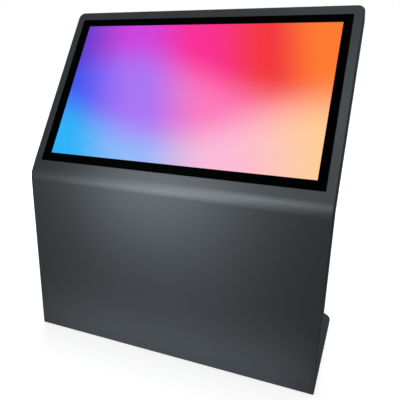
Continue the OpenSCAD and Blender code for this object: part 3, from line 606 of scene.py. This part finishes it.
def smooth_faces(piece: Piece, angle: float = CREASE) -> None:
    """Shade a piece smooth, with sharp edges above an angle in degrees."""
    piece.data.shade_smooth()
    piece.data.set_sharp_from_angle(angle=math.radians(angle))


@dataclass(frozen=True)
class Ring:
    """One ring of a turned shape, in mm. With flats it is a polygon of that inner radius."""

    radius: float
    height: float
    flats: int = 0

    def points(self, segments: int) -> list[Vector]:
        """Find points round the ring.

        Args:
            segments: How many.

        Returns:
            The points, in metres.
        """
        found = []
        for index in range(segments):
            angle = 2 * math.pi * index / segments
            reach = self.radius
            if self.flats:
                part = 2 * math.pi / self.flats
                reach /= math.cos((angle % part) - part / 2)
            across = (reach * math.cos(angle), reach * math.sin(angle))
            found.append(MM * Vector((*across, self.height)))
        return found


def turned(name: str, rings: Sequence[Ring], segments: int = 24) -> Mesh:
    """Join rings into a closed turned shape about z.

    With the same ring first and last it is a hoop. Otherwise both ends are filled.

    Args:
        name: Name of the mesh.
        rings: Rings in order along the surface.
        segments: Points in each ring.

    Returns:
        The mesh.
    """
    shape = bmesh.new()
    hoop = rings[0] == rings[-1]
    used = rings[:-1] if hoop else rings
    loops = [[shape.verts.new(p) for p in ring.points(segments)] for ring in used]
    after = loops[1:] + loops[:1] if hoop else loops[1:]
    for low, high in zip(loops, after):
        for i in range(segments):
            k = (i + 1) % segments
            shape.faces.new((low[i], low[k], high[k], high[i]))
    if not hoop:
        shape.faces.new(loops[0])
        shape.faces.new(loops[-1])
    return to_mesh(name, shape)


class Screw:
    """A fastener turned about z, with its head upwards and the face it sits on at z = 0."""

    segments: int

    def rings(self) -> tuple[Ring, ...]:
        """Rings of the fastener, from its tip to the floor of its socket."""
        raise NotImplementedError


@dataclass(frozen=True)
class SocketScrew(Screw):
    """Pan-head screw with a six-sided socket, in mm."""

    shank: float = 1.9
    length: float = 8.0
    head: float = 3.6
    crown: float = 2.7
    height: float = 2.2
    socket: float = 1.25
    depth: float = 1.3
    taper: float = 0.8
    tip: float = 0.5
    edge: float = 0.2
    belt: float = 0.45
    brow: float = 0.75
    shoulder: float = 0.25
    lip: float = 0.15
    segments: int = 24

    def rings(self) -> tuple[Ring, ...]:
        """List the rings.

        Returns:
            The rings, from the tip of the shank to the floor of the socket.
        """
        return (
            Ring(self.shank * self.taper, -self.length),
            Ring(self.shank, self.tip - self.length),
            Ring(self.shank, 0.0),
            Ring(self.head - self.edge, 0.0),
            Ring(self.head, self.edge),
            Ring(self.head, self.height * self.belt),
            Ring(self.head - self.shoulder, self.height * self.brow),
            Ring(self.crown, self.height),
            Ring(self.socket + self.lip, self.height, SOCKET_FLATS),
            Ring(self.socket, self.height - self.lip, SOCKET_FLATS),
            Ring(self.socket, self.height - self.depth, SOCKET_FLATS),
        )


@dataclass(frozen=True)
class SunkScrew(Screw):
    """Countersunk screw head that ends flush, with a six-sided socket, in mm."""

    head: float = 3.0
    rise: float = 0.25
    socket: float = 1.1
    depth: float = 0.9
    taper: float = 0.6
    sunk: float = 1.6
    shoulder: float = 0.25
    lip: float = 0.1
    segments: int = 18

    def rings(self) -> tuple[Ring, ...]:
        """List the rings.

        Returns:
            The rings, from the underside of the head to the floor of the socket.
        """
        return (
            Ring(self.head * self.taper, -self.sunk),
            Ring(self.head, 0.0),
            Ring(self.head - self.shoulder, self.rise),
            Ring(self.socket + self.lip, self.rise, SOCKET_FLATS),
            Ring(self.socket, self.rise - self.lip, SOCKET_FLATS),
            Ring(self.socket, self.rise - self.depth, SOCKET_FLATS),
        )


class GeometryTree(TreeBuilder):
    """A Geometry Nodes tree under construction, with named inputs."""

    def __init__(self, name: str) -> None:
        """Start a tree with a geometry input and output.

        Args:
            name: Name of the tree.
        """
        super().__init__(bpy.data.node_groups.new(name, "GeometryNodeTree"))
        self.keys: dict[str, str] = {}
        self.entry = self.add("NodeGroupInput")
        self.exit = self.add("NodeGroupOutput")
        sockets = self.tree.interface
        sockets.new_socket("Geometry", in_out="OUTPUT", socket_type="NodeSocketGeometry")
        self.base = self.input("Geometry", "Geometry")

    def input(self, name: str, kind: str) -> Socket:
        """Add a named input.

        Args:
            name: Name of the input.
            kind: Kind of value that it takes.

        Returns:
            Its socket inside the tree.
        """
        kind = f"NodeSocket{kind}"
        item = self.tree.interface.new_socket(name, in_out="INPUT", socket_type=kind)
        self.keys[name] = item.identifier
        return next(s for s in self.entry.outputs if s.identifier == item.identifier)

    def close(self, geometry: Socket) -> None:
        """End the tree in Realize Instances and Set Material.

        Args:
            geometry: What the tree has made.
        """
        solid = self.step("GeometryNodeRealizeInstances", Geometry=geometry)
        material = self.input("Material", "Material")
        painted = self.step("GeometryNodeSetMaterial", Geometry=solid, Material=material)
        self.feed(self.exit.inputs[0], painted)

    def build(
        self, name: str, mesh: Mesh, role: Role, crease: float = CREASE, **values: object
    ) -> None:
        """Run the tree on a mesh and keep the result as a piece with a plain mesh.

        Args:
            name: Name of the piece.
            mesh: Mesh that goes in.
            role: What the piece is made of and where it belongs.
            crease: Edges above this angle, in degrees, stay sharp.
            **values: Inputs by name, spaces written as underscores.
        """
        piece = link(name, mesh)
        modifier = piece.modifiers.new("Shape", "NODES")
        modifier.node_group = self.tree
        values["Material"] = role.finish.material
        for key, value in values.items():
            modifier[self.keys[key.replace("_", " ")]] = value
        graph = bpy.context.evaluated_depsgraph_get()
        result = bpy.data.meshes.new_from_object(
            piece.evaluated_get(graph), preserve_all_data_layers=True, depsgraph=graph
        )
        piece.modifiers.clear()
        piece.data = result
        smooth_faces(piece, crease)
        role.place(piece)


class ScatterTree(GeometryTree):
    """Sets copies of one fastener on points, each turned by chance about its own axis."""

    LARGEST_TURN = math.radians(60)

    def __init__(self) -> None:
        """Build the tree."""
        super().__init__("fasteners_on_points")
        fastener = self.input("Fastener", "Object")
        source = self.add("GeometryNodeObjectInfo", Object=fastener).outputs["Geometry"]
        facing = self.step("FunctionNodeEulerToRotation", Euler=self.input("Facing", "Vector"))
        turn = self.step(
            "FunctionNodeRandomValue",
            data_type="FLOAT",
            Max=self.input("Largest turn", "Float"),
            Seed=self.input("Seed", "Int"),
        )
        spin = self.step("FunctionNodeAxisAngleToRotation", Axis=(0, 0, 1), Angle=turn)
        both = self.step(
            "FunctionNodeRotateRotation", rotation_space="LOCAL", Rotation=facing, Rotate_By=spin
        )
        copies = self.step(
            "GeometryNodeInstanceOnPoints", Points=self.base, Instance=source, Rotation=both
        )
        self.close(copies)

    def row(
        self, name: str, screw: Screw, points: Iterable[Vector], face: Face, role: Role
    ) -> None:
        """Set screws on points.

        Args:
            name: Name of the piece.
            screw: Shape of one screw.
            points: Places of the seats, in the row frame.
            face: Face that the heads look away from.
            role: What they are made of and where they belong.
        """
        sample = link(f"{name}_sample", turned(name, screw.rings(), screw.segments))
        seats = bpy.data.meshes.new(name)
        seats.from_pydata([tuple(p) for p in points], [], [])
        self.build(
            name,
            seats,
            role,
            Fastener=sample,
            Facing=tuple(face.turn().to_euler()),
            Largest_turn=self.LARGEST_TURN,
            Seed=len(name),
        )
        bpy.data.objects.remove(sample)


class SealTree(GeometryTree):
    """Sweeps a flattened round strip along a rounded rectangle."""

    CORNER_STEPS = 8
    SECTION_STEPS = 20

    def __init__(self) -> None:
        """Build the tree."""
        super().__init__("seal_strip")
        outline = self.step(
            "GeometryNodeCurvePrimitiveQuadrilateral",
            Width=self.input("Width", "Float"),
            Height=self.input("Height", "Float"),
        )
        rounded = self.step(
            "GeometryNodeFilletCurve",
            mode="POLY",
            Curve=outline,
            Count=self.CORNER_STEPS,
            Radius=self.input("Corner", "Float"),
        )
        profile = self.step(
            "GeometryNodeCurvePrimitiveCircle", Resolution=self.SECTION_STEPS, Radius=1.0
        )
        size = self.input("Section", "Vector")
        section = self.step("GeometryNodeTransform", Geometry=profile, Scale=size)
        strip = self.step("GeometryNodeCurveToMesh", Curve=rounded, Profile_Curve=section)
        placed = self.step(
            "GeometryNodeTransform",
            Geometry=strip,
            Translation=self.input("Place", "Vector"),
            Rotation=self.input("Turn", "Rotation"),
        )
        self.close(placed)


class LeadTree(GeometryTree):
    """Sweeps a round jacket along a smooth curve through the points of a route."""

    SECTION_STEPS = 16

    def __init__(self) -> None:
        """Build the tree."""
        super().__init__("lead_jacket")
        curve = self.step("GeometryNodeMeshToCurve", Mesh=self.base)
        bezier = self.step("GeometryNodeCurveSplineType", spline_type="BEZIER", Curve=curve)
        smooth = self.step("GeometryNodeCurveSetHandles", handle_type="AUTO", Curve=bezier)
        steps = self.input("Steps", "Int")
        fine = self.step("GeometryNodeSetSplineResolution", Geometry=smooth, Resolution=steps)
        profile = self.step(
            "GeometryNodeCurvePrimitiveCircle",
            Resolution=self.SECTION_STEPS,
            Radius=self.input("Radius", "Float"),
        )
        jacket = self.step(
            "GeometryNodeCurveToMesh", Curve=fine, Profile_Curve=profile, Fill_Caps=True
        )
        self.close(jacket)


ANTHRACITE = PowderCoat("powder_coat_front", (0.034, 0.0385, 0.043), 0.44, matt_sides=True)
ANTHRACITE_REAR = PowderCoat("powder_coat_rear", (0.034, 0.0385, 0.043), 0.5, specular=0.045)
GLASS = ScreenGlass("cover_glass_picture", (0.0004, 0.0005, 0.0005), 0.12)
ZINC = PlatedSteel("zinc_plate", (0.5, 0.51, 0.52), 0.36)
BRIGHT_ZINC = PolishedMetal("bright_zinc", (0.54, 0.55, 0.56), 0.28)
CHROME = PolishedMetal("lock_chrome", (0.5, 0.51, 0.52), 0.2)
NICKEL = PolishedMetal("pin_nickel", (0.72, 0.69, 0.6), 0.22)
BLACK_OXIDE = PowderCoat("black_oxide", (0.022, 0.023, 0.025), 0.42, peel=0.0005)
BLACK_ANODISED = PowderCoat("black_anodised", (0.03, 0.032, 0.035), 0.38, peel=0.0006)
TRAY_ALLOY = PlatedSteel("tray_alloy", (0.6, 0.62, 0.63), 0.42)
SUPPLY_ALLOY = PlatedSteel("supply_alloy", (0.56, 0.57, 0.58), 0.4, streak=(400.0, 400.0, 6.0))
BLACK_MOULDING = Moulding("black_moulding", (0.02, 0.021, 0.022), 0.52)
ROCKER_MOULDING = Moulding("rocker_moulding", (0.028, 0.03, 0.032), 0.36, grain=0.0004)
CASE_MOULDING = Moulding("player_case", (0.024, 0.026, 0.029), 0.48)
RUBBER = Moulding("black_rubber", (0.018, 0.018, 0.019), 0.8, grain=0.0012, specular=0.25)
FOAM = Moulding(
    "foam_seal", (0.022, 0.022, 0.024), 0.9, grain=0.0009, depth=0.0002, specular=0.15
)
JACKET = Moulding("lead_jacket", (0.017, 0.017, 0.018), 0.44, grain=0.0015)
NYLON = Moulding("natural_nylon", (0.7, 0.71, 0.69), 0.45, grain=0.0008)
MARK_PRINT = Moulding("white_marks", (0.78, 0.79, 0.78), 0.5, grain=0.0005)
GUIDE_ACRYLIC = Moulding("guide_acrylic", (0.86, 0.89, 0.9), 0.12, grain=0.004, depth=0.00002)
PANEL_FILM = Moulding("picture_panel", (0.02, 0.022, 0.028), 0.25, grain=0.003, depth=0.00001)
SOLDER_MASK = CircuitBoard("solder_mask", (0.012, 0.12, 0.05), 0.38)
GREEN_LENS = LampLens("green_lens", (0.1, 0.85, 0.25), 0.25)


@dataclass(frozen=True)
class Unit:
    """A part of the kiosk, which dresses its CAD nodes and adds pieces of its own."""

    fasteners: ScatterTree

    def build(self) -> None:
        """Dress the nodes and add the pieces."""
        raise NotImplementedError


class BodyShell(Unit):
    """Front sheet, frames and base."""

    def build(self) -> None:
        """Dress the nodes."""
        ANTHRACITE.dress("front_shell")
        ANTHRACITE_REAR.dress("base_plate")
        ZINC.dress("side_frame_left", "side_frame_right", "base_angle_left", "base_angle_right")
        BRIGHT_ZINC.dress("base_bolts")
        RUBBER.dress("foot_pads", "cable_grommet")


class ScreenUnit(Unit):
    """Glass, picture panel and what holds them."""

    def build(self) -> None:
        """Dress the nodes."""
        GLASS.dress("cover_glass")
        FOAM.dress("glass_tape")
        BLACK_ANODISED.dress("display_frame")
        BRIGHT_ZINC.dress("frame_studs", "frame_nuts", "rail_screws")
        PANEL_FILM.dress("lcd_panel")
        GUIDE_ACRYLIC.dress("light_guide")
        TRAY_ALLOY.dress("backlight_tray")
        ZINC.dress("display_rail_lower", "display_rail_upper")
        SOLDER_MASK.dress("driver_board", "touch_board")


@dataclass(frozen=True)
class RearCovers(Unit):
    """Rear covers, their screws and the fans, in mm."""

    half_width: float = 530.0
    upper_length: float = 682.0
    screw_in: float = 9.0
    upper_rise: Pair = (58.93, 646.0)
    lower_rise: Pair = (46.0, 566.07)
    rows: int = 4
    fan_x: float = 250.0
    fan_rise: float = 592.0
    fan_screw: float = 35.7

    def edges(self, span: Pair) -> list[Pair]:
        """Find the screws up both side edges of a cover.

        Args:
            span: Lowest and highest row.

        Returns:
            How far across and up the screws are.
        """
        side = self.half_width - self.screw_in
        step = (span[1] - span[0]) / (self.rows - 1)
        return [(s * side, span[0] + i * step) for i in range(self.rows) for s in SIDES]

    def build(self) -> None:
        """Dress the covers and fans and set their screws."""
        ANTHRACITE_REAR.dress("upper_rear_cover", "lower_rear_panel")
        BLACK_MOULDING.dress("fan_frame_left", "fan_frame_right")
        BLACK_MOULDING.dress("fan_rotor_left", "fan_rotor_right")
        half = (self.half_width - self.screw_in) / 2
        top = [(x, self.upper_length - self.screw_in) for x in (-half, 0, half)]
        fans = [s * self.fan_x for s in SIDES]
        steps = [s * self.fan_screw for s in SIDES]
        corners = [(x + dx, self.fan_rise + dy) for x in fans for dx in steps for dy in steps]
        rows = (
            ("cover_screws_upper", self.edges(self.upper_rise) + top, UPPER, "upper_cover_screws"),
            ("cover_screws_fans", corners, UPPER, "fan_screws"),
            ("cover_screws_lower", self.edges(self.lower_rise), LOWER, "lower_panel_screws"),
        )
        for name, places, face, node in rows:
            seats = [face.point(*place, COVER_OUT) for place in places]
            role = Role(BLACK_OXIDE, Body.STAND, Slot.SCREWS, (node,))
            self.fasteners.row(name, SocketScrew(), seats, face, role)


@dataclass(frozen=True)
class ServiceDoor(Unit):
    """Door with its seal, hinges and locks, in mm."""

    width: float = 480.0
    height: float = 400.0
    bottom: float = 115.0
    seal_edge: float = 9.0
    seal_width: float = 8.0
    seal_depth: float = 2.0
    seal_corner: float = 8.0
    hinge_x: float = -245.5
    hinge_inset: float = 70.0
    leaf_fixed: float = -16.0
    leaf_door: float = 17.0
    leaf_depth: float = 2.0
    screw_step: float = 18.0
    door_out: float = 60.2

    def seal(self) -> None:
        """Sweep the seal round the opening of the door."""
        name = "door_seal_strip"
        half_depth = self.seal_depth / 2
        middle = LOWER.point(0, self.bottom + self.height / 2, COVER_OUT + half_depth)
        SealTree().build(
            name,
            bpy.data.meshes.new(name),
            Role(FOAM, Body.STAND, Slot.RUBBER, ("door_seal",)),
            Width=(self.width - 2 * self.seal_edge) * MM,
            Height=(self.height - 2 * self.seal_edge) * MM,
            Corner=self.seal_corner * MM,
            Section=(self.seal_width / 2 * MM, half_depth * MM, 1.0),
            Place=tuple(middle),
            Turn=tuple(LOWER.turn().to_euler()),
        )

    def build(self) -> None:
        """Dress the door, sweep its seal and set the hinge screws."""
        ANTHRACITE_REAR.dress("service_door")
        ZINC.dress("hinge_leaves", "door_hinge_leaves")
        BRIGHT_ZINC.dress("hinge_pins", "lock_cam_upper", "lock_cam_lower")
        CHROME.dress("lock_body_upper", "lock_body_lower", "lock_plug_upper", "lock_plug_lower")
        self.seal()
        middles = (self.bottom + self.hinge_inset, self.bottom + self.height - self.hinge_inset)
        rises = [z + i * self.screw_step for z in middles for i in (-1, 0, 1)]
        leaves = (
            ("hinge_screws_fixed", self.leaf_fixed, COVER_OUT, Body.STAND),
            ("hinge_screws_door", self.leaf_door, self.door_out, Body.DOOR),
        )
        for name, across, out, body in leaves:
            x, depth = self.hinge_x + across, out + self.leaf_depth
            seats = [LOWER.point(x, rise, depth) for rise in rises]
            role = Role(BRIGHT_ZINC, body, Slot.BRIGHT)
            self.fasteners.row(name, SunkScrew(), seats, LOWER, role)


@dataclass(frozen=True)
class Equipment(Unit):
    """Media player and power supply on the component plate, in mm."""

    supply_x: float = -125.0
    supply_bottom: float = 180.0
    notch_depth: float = 26.0
    terminals: int = 6
    terminal_step: float = 14.0
    strip_up: float = 2.0
    strip_height: float = 18.0
    strip_thick: float = 4.0
    screw: SocketScrew = SocketScrew(
        shank=1.4, length=2.0, head=3.2, crown=2.5, height=1.6, socket=1.1, depth=1.0
    )
    lamp_x: float = 146.0
    lamp_rise: float = 287.0
    player_back: float = 40.0
    lens: tuple[Ring, ...] = (Ring(1.5, -0.5), Ring(1.5, 0.3), Ring(1.1, 0.7), Ring(0.4, 0.9))
    lens_segments: int = 16

    def build(self) -> None:
        """Dress the equipment and add the terminal screws and the indicator lamp."""
        ZINC.dress("component_plate")
        BRIGHT_ZINC.dress("plate_fixings", "player_button")
        CASE_MOULDING.dress("media_player")
        SUPPLY_ALLOY.dress("power_supply")
        BLACK_MOULDING.dress("terminal_strip")
        first = self.supply_x + (1 - self.terminals) / 2 * self.terminal_step
        rise = self.supply_bottom + self.strip_up + self.strip_height / 2
        depth = self.notch_depth + self.strip_thick
        places = [first + i * self.terminal_step for i in range(self.terminals)]
        seats = [LOWER.point(x, rise, depth) for x in places]
        role = Role(BRIGHT_ZINC, Body.STAND, Slot.BRIGHT)
        self.fasteners.row("terminal_screws", self.screw, seats, LOWER, role)
        lens = turned("player_lamp", self.lens, self.lens_segments)
        place = Matrix.Translation(LOWER.point(self.lamp_x, self.lamp_rise, self.player_back))
        lens.transform(place @ LOWER.turn().to_4x4())
        lamp = link("player_lamp", lens)
        smooth_faces(lamp)
        Role(GREEN_LENS, Body.STAND, Slot.NYLON).place(lamp)


@dataclass(frozen=True)
class MainsEntry(Unit):
    """Inlet and rocker switch at the foot of the lower rear panel, in mm."""

    inlet_x: float = 400.0
    switch_x: float = 340.0
    flange: float = 3.0
    screw_dx: float = 20.0
    screw_head: float = 2.6
    pivot: float = 0.5
    tilt: float = 12.0
    rocker_mid: float = 1.2
    mark_y: float = 5.6
    mark_half: float = 1.9
    mark_thick: float = 0.12
    mark_sunk: float = 0.1
    bar_half: float = 0.35
    ring_inner: float = 1.3

    def mark_matrix(self, side: int) -> Matrix:
        """Place a mark on one half of the rocker.

        Args:
            side: 1 for the upper half and -1 for the lower half.

        Returns:
            The placement of a mark drawn flat round the origin, with z out of the rocker.
        """
        tilt = math.radians(self.tilt)
        pivot = Matrix.Translation(LOWER.point(self.switch_x, MAINS_RISE, COVER_OUT + self.pivot))
        rest = pivot @ Matrix.Rotation(-tilt, 4, "X") @ LOWER.turn().to_4x4()
        height = self.rocker_mid + self.mark_y * math.tan(tilt)
        slope = Matrix.Rotation(side * tilt, 4, "X")
        return rest @ Matrix.Translation(MM * Vector((0, side * self.mark_y, height))) @ slope

    def marks(self) -> Mesh:
        """Make a bar and a ring, the usual marks of on and off.

        Returns:
            Their mesh in place.
        """
        low, high = -self.mark_sunk, self.mark_thick
        outer, inner = self.mark_half, self.ring_inner
        middle = MM * Vector((0, 0, (low + high) / 2))
        size = MM * Vector((2 * self.bar_half, 2 * outer, high - low))
        bar = self.mark_matrix(1) @ Matrix.LocRotScale(middle, None, size)
        shape = bmesh.new()
        bmesh.ops.create_cube(shape, size=1.0, matrix=bar)
        section = ((inner, low), (outer, low), (outer, high), (inner, high), (inner, low))
        ring = turned("off_ring", [Ring(*corner) for corner in section])
        ring.transform(self.mark_matrix(-1))
        shape.from_mesh(ring)
        bpy.data.meshes.remove(ring)
        return to_mesh("rocker_marks", shape)

    def build(self) -> None:
        """Dress the mains entry, mark the rocker and set the flange screws."""
        BLACK_MOULDING.dress("power_inlet", "switch_body")
        NICKEL.dress("inlet_pins")
        ROCKER_MOULDING.dress("switch_rocker")
        Role(MARK_PRINT, Body.ROCKER, Slot.NYLON).place(link("rocker_marks", self.marks()))
        places = [self.inlet_x + s * self.screw_dx for s in SIDES]
        seats = [LOWER.point(x, MAINS_RISE, COVER_OUT + self.flange) for x in places]
        role = Role(BLACK_OXIDE, Body.STAND, Slot.SCREWS)
        self.fasteners.row("inlet_screws", SunkScrew(self.screw_head), seats, LOWER, role)


@dataclass(frozen=True)
class Leads(Unit):
    """Leads inside the body, in mm: their points are those that the CAD leads pass through."""

    mains_radius: float = 3.5
    lead_radius: float = 3.0
    run: float = 12.0
    link_depth: float = 46.5
    curve_steps: int = 8
    crease: float = 60.0

    def routes(self) -> dict[str, tuple[float, list[list[Vector]], str]]:
        """Points of every lead.

        Returns:
            For each piece its radius, its routes and the CAD node that it stands for.
        """
        low, upp = LOWER.point, UPPER.point
        inlet = [low(x, MAINS_RISE, self.link_depth) for x in (386.3, 370.0, 349.5)]
        mains = [low(x, MAINS_RISE, self.link_depth) for x in (330.5, 300.0)]
        mains += [low(255, MAINS_RISE, 30)]
        mains += [low(x, MAINS_RISE, self.run) for x in (205, 180, 120, 90, 30, 0)]
        mains += [low(-70, 80, self.run), low(-115, 115, 15), low(-125, 150, 19)]
        mains += [low(-125, 180, 19)]
        display = [low(-125, 360, 19), low(-125, 390, 19)]
        display += [low(-120, z, self.run) for z in (430, 450, 500, 520)]
        display += [upp(-110, 10, 24), upp(-95, 110, 44), upp(-80, 200, 46)]
        display += [upp(-50, 263, 35.6), upp(-50, 293, 32.6)]
        video = [low(80, 335, 22), low(80, 365, 22)]
        video += [low(80, z, self.run) for z in (430, 450, 500, 520)]
        video += [upp(75, 10, 24), upp(65, 110, 44), upp(55, 200, 46)]
        video += [upp(40, 263, 35.6), upp(40, 293, 32.6)]
        return {
            "mains_jacket": (self.mains_radius, [inlet, mains], "mains_lead"),
            "display_jacket": (self.lead_radius, [display], "display_lead"),
            "video_jacket": (self.lead_radius, [video], "video_lead"),
        }

    def build(self) -> None:
        """Sweep the leads and dress their clips."""
        NYLON.dress("cable_clips")
        tree = LeadTree()
        for name, (radius, routes, node) in self.routes().items():
            points: list[tuple[float, ...]] = []
            edges: list[tuple[int, int]] = []
            for route in routes:
                start = len(points)
                points += [tuple(p) for p in route]
                edges += [(i, i + 1) for i in range(start, len(points) - 1)]
            path = bpy.data.meshes.new(name)
            path.from_pydata(points, edges, [])
            role = Role(JACKET, Body.STAND, Slot.JACKET, (node,))
            tree.build(name, path, role, self.crease, Radius=radius * MM, Steps=self.curve_steps)


@dataclass(frozen=True)
class Lamp:
    """A soft rectangular studio lamp, which may spare one object."""

    name: str
    place: Point
    target: Point
    size: Pair
    power: float
    use: LampUse
    spread: float = 180.0
    keep_off: Piece | None = None

    def build(self) -> None:
        """Hang the lamp and aim it."""
        data = bpy.data.lights.new(self.name, "AREA")
        data.shape = "RECTANGLE"
        data.size, data.size_y = self.size
        data.energy = self.power
        data.spread = math.radians(self.spread)
        lamp = link(self.name, data)
        lamp.location = self.place
        aim = Vector(self.target) - Vector(self.place)
        lamp.rotation_euler = aim.to_track_quat("-Z", "Y").to_euler()
        lamp.visible_camera = False
        lamp.visible_diffuse = self.use is LampUse.FILL
        lamp.visible_glossy = self.use is LampUse.GLOSS
        if self.keep_off is not None:
            spared = bpy.data.collections.new(f"{self.name}_spared")
            spared.objects.link(self.keep_off)
            spared.collection_objects[0].light_linking.link_state = "EXCLUDE"
            lamp.light_linking.receiver_collection = spared


@dataclass(frozen=True)
class Studio:
    """White studio: floor, background, lamps and the camera of the photograph."""

    ambient: float = 0.25
    floor_size: float = 60.0
    floor_colour: Colour = (0.6, 0.6, 0.6)
    floor_roughness: float = 0.9
    floor_glow: float = 0.72
    floor_near: float = 1.2
    floor_far: float = 4.0
    camera_place: Point = (0.613, -1.6076, 1.0682)
    camera_pitch: float = -17.934
    camera_yaw: float = 23.971
    camera_sensor: float = 36.0
    camera_lens: float = 43.054
    camera_shift: float = 0.0845
    front: Point = (-0.03, -0.26, 0.55)
    foot: Point = (0.0, -0.26, 0.08)
    side: Point = (0.5, 0.0, 0.9)
    middle: Point = (0.0, 0.1, 0.6)

    @staticmethod
    def seen(work: TreeBuilder) -> Socket:
        """Tell rays that show the background, seen directly, in gloss or through glass.

        Args:
            work: Node tree of the world or of the floor.

        Returns:
            1 for such a ray and 0 for light that falls on the object.
        """
        rays = work.add("ShaderNodeLightPath").outputs
        found = rays["Is Camera Ray"]
        for kind in ("Is Glossy Ray", "Is Transmission Ray"):
            found = work.step("ShaderNodeMath", found, rays[kind], operation="MAXIMUM")
        return found

    def world(self) -> None:
        """White to the eye and in reflections, and a soft grey light on the object."""
        world = bpy.data.worlds.new("studio")
        bpy.context.scene.world = world
        world.use_nodes = True
        work = TreeBuilder(world.node_tree)
        work.tree.nodes.clear()
        seen = self.seen(work)
        level = work.step("ShaderNodeMapRange", Value=seen, To_Min=self.ambient, To_Max=1.0)
        light = work.step("ShaderNodeBackground", Color=WHITE, Strength=level)
        work.add("ShaderNodeOutputWorld", light)

    def floor(self) -> Piece:
        """Lay a plain white floor, which keeps the shadow of the object and whitens with distance.

        Returns:
            The floor.
        """
        shape = bmesh.new()
        bmesh.ops.create_grid(shape, x_segments=1, y_segments=1, size=self.floor_size / 2)
        floor = link("studio_floor", to_mesh("studio_floor", shape))
        shader = Shader("studio_floor")
        reach = shader.step("ShaderNodeVectorMath", shader.place, operation="LENGTH")
        span = (self.floor_near, self.floor_far)
        glow = shader.step("ShaderNodeMapRange", reach, *span, self.floor_glow, 1.0)
        shader.surface(
            Base_Color=(*self.floor_colour, 1.0),
            Roughness=self.floor_roughness,
            Specular_IOR_Level=0.0,
            Emission_Color=WHITE,
            Emission_Strength=shader.math("MULTIPLY", glow, self.seen(shader)),
        )
        floor.data.materials.append(shader.material)
        return floor

    def camera(self) -> None:
        """Set the camera where the photograph was taken from."""
        data = bpy.data.cameras.new("photograph")
        data.sensor_width = self.camera_sensor
        data.lens = self.camera_lens
        data.shift_x = self.camera_shift
        camera = link("photograph", data)
        camera.location = self.camera_place
        camera.rotation_euler = Euler(
            (math.radians(90 + self.camera_pitch), 0.0, math.radians(self.camera_yaw))
        )
        bpy.context.scene.camera = camera

    def lamps(self, floor: Piece, glass: Piece) -> tuple[Lamp, ...]:
        """List the lamps.

        Args:
            floor: Floor, which the near lamps spare.
            glass: Cover glass, which mirrors none of the strips.

        Returns:
            The lamps.
        """
        front, foot, side, middle = self.front, self.foot, self.side, self.middle
        fill, gloss = LampUse.FILL, LampUse.GLOSS
        wide = Lamp.spread
        return (
            Lamp("front_fill", (-0.05, -0.65, 0.85), front, (0.4, 0.3), 1.87, fill, 80.0, floor),
            Lamp("foot_fill", (0.0, -0.4, 0.02), foot, (1.0, 0.04), 0.98, fill, wide, floor),
            Lamp("high_strip", (-0.35, -2.6, 1.9), front, (0.9, 0.5), 258.0, gloss, wide, glass),
            Lamp("low_strip", (-0.85, -2.6, 0.75), front, (0.9, 0.4), 217.0, gloss, wide, glass),
            Lamp("right_strip", (0.4, -0.95, 2.35), side, (0.3, 0.5), 24.0, gloss, wide, glass),
            Lamp("top_softbox", (0.2, 0.3, 3.2), middle, (2.4, 2.0), 52.0, fill),
            Lamp("rear_softbox", (-1.8, 2.4, 0.9), middle, (1.8, 1.4), 80.0, fill),
        )

    def build(self) -> None:
        """Set up light, floor and camera."""
        bpy.context.scene.view_settings.view_transform = "Standard"
        self.world()
        for lamp in self.lamps(self.floor(), frame["nodes"]["cover_glass"]):
            lamp.build()
        self.camera()


def main() -> None:
    """Build the studio, dress every node and add the pieces, in order."""
    logging.basicConfig(level=logging.INFO, format="%(name)s: %(message)s")
    fasteners = ScatterTree()
    Studio().build()
    for unit in (BodyShell, ScreenUnit, RearCovers, ServiceDoor, Equipment, MainsEntry, Leads):
        unit(fasteners).build()


if __name__ == "__main__":
    main()
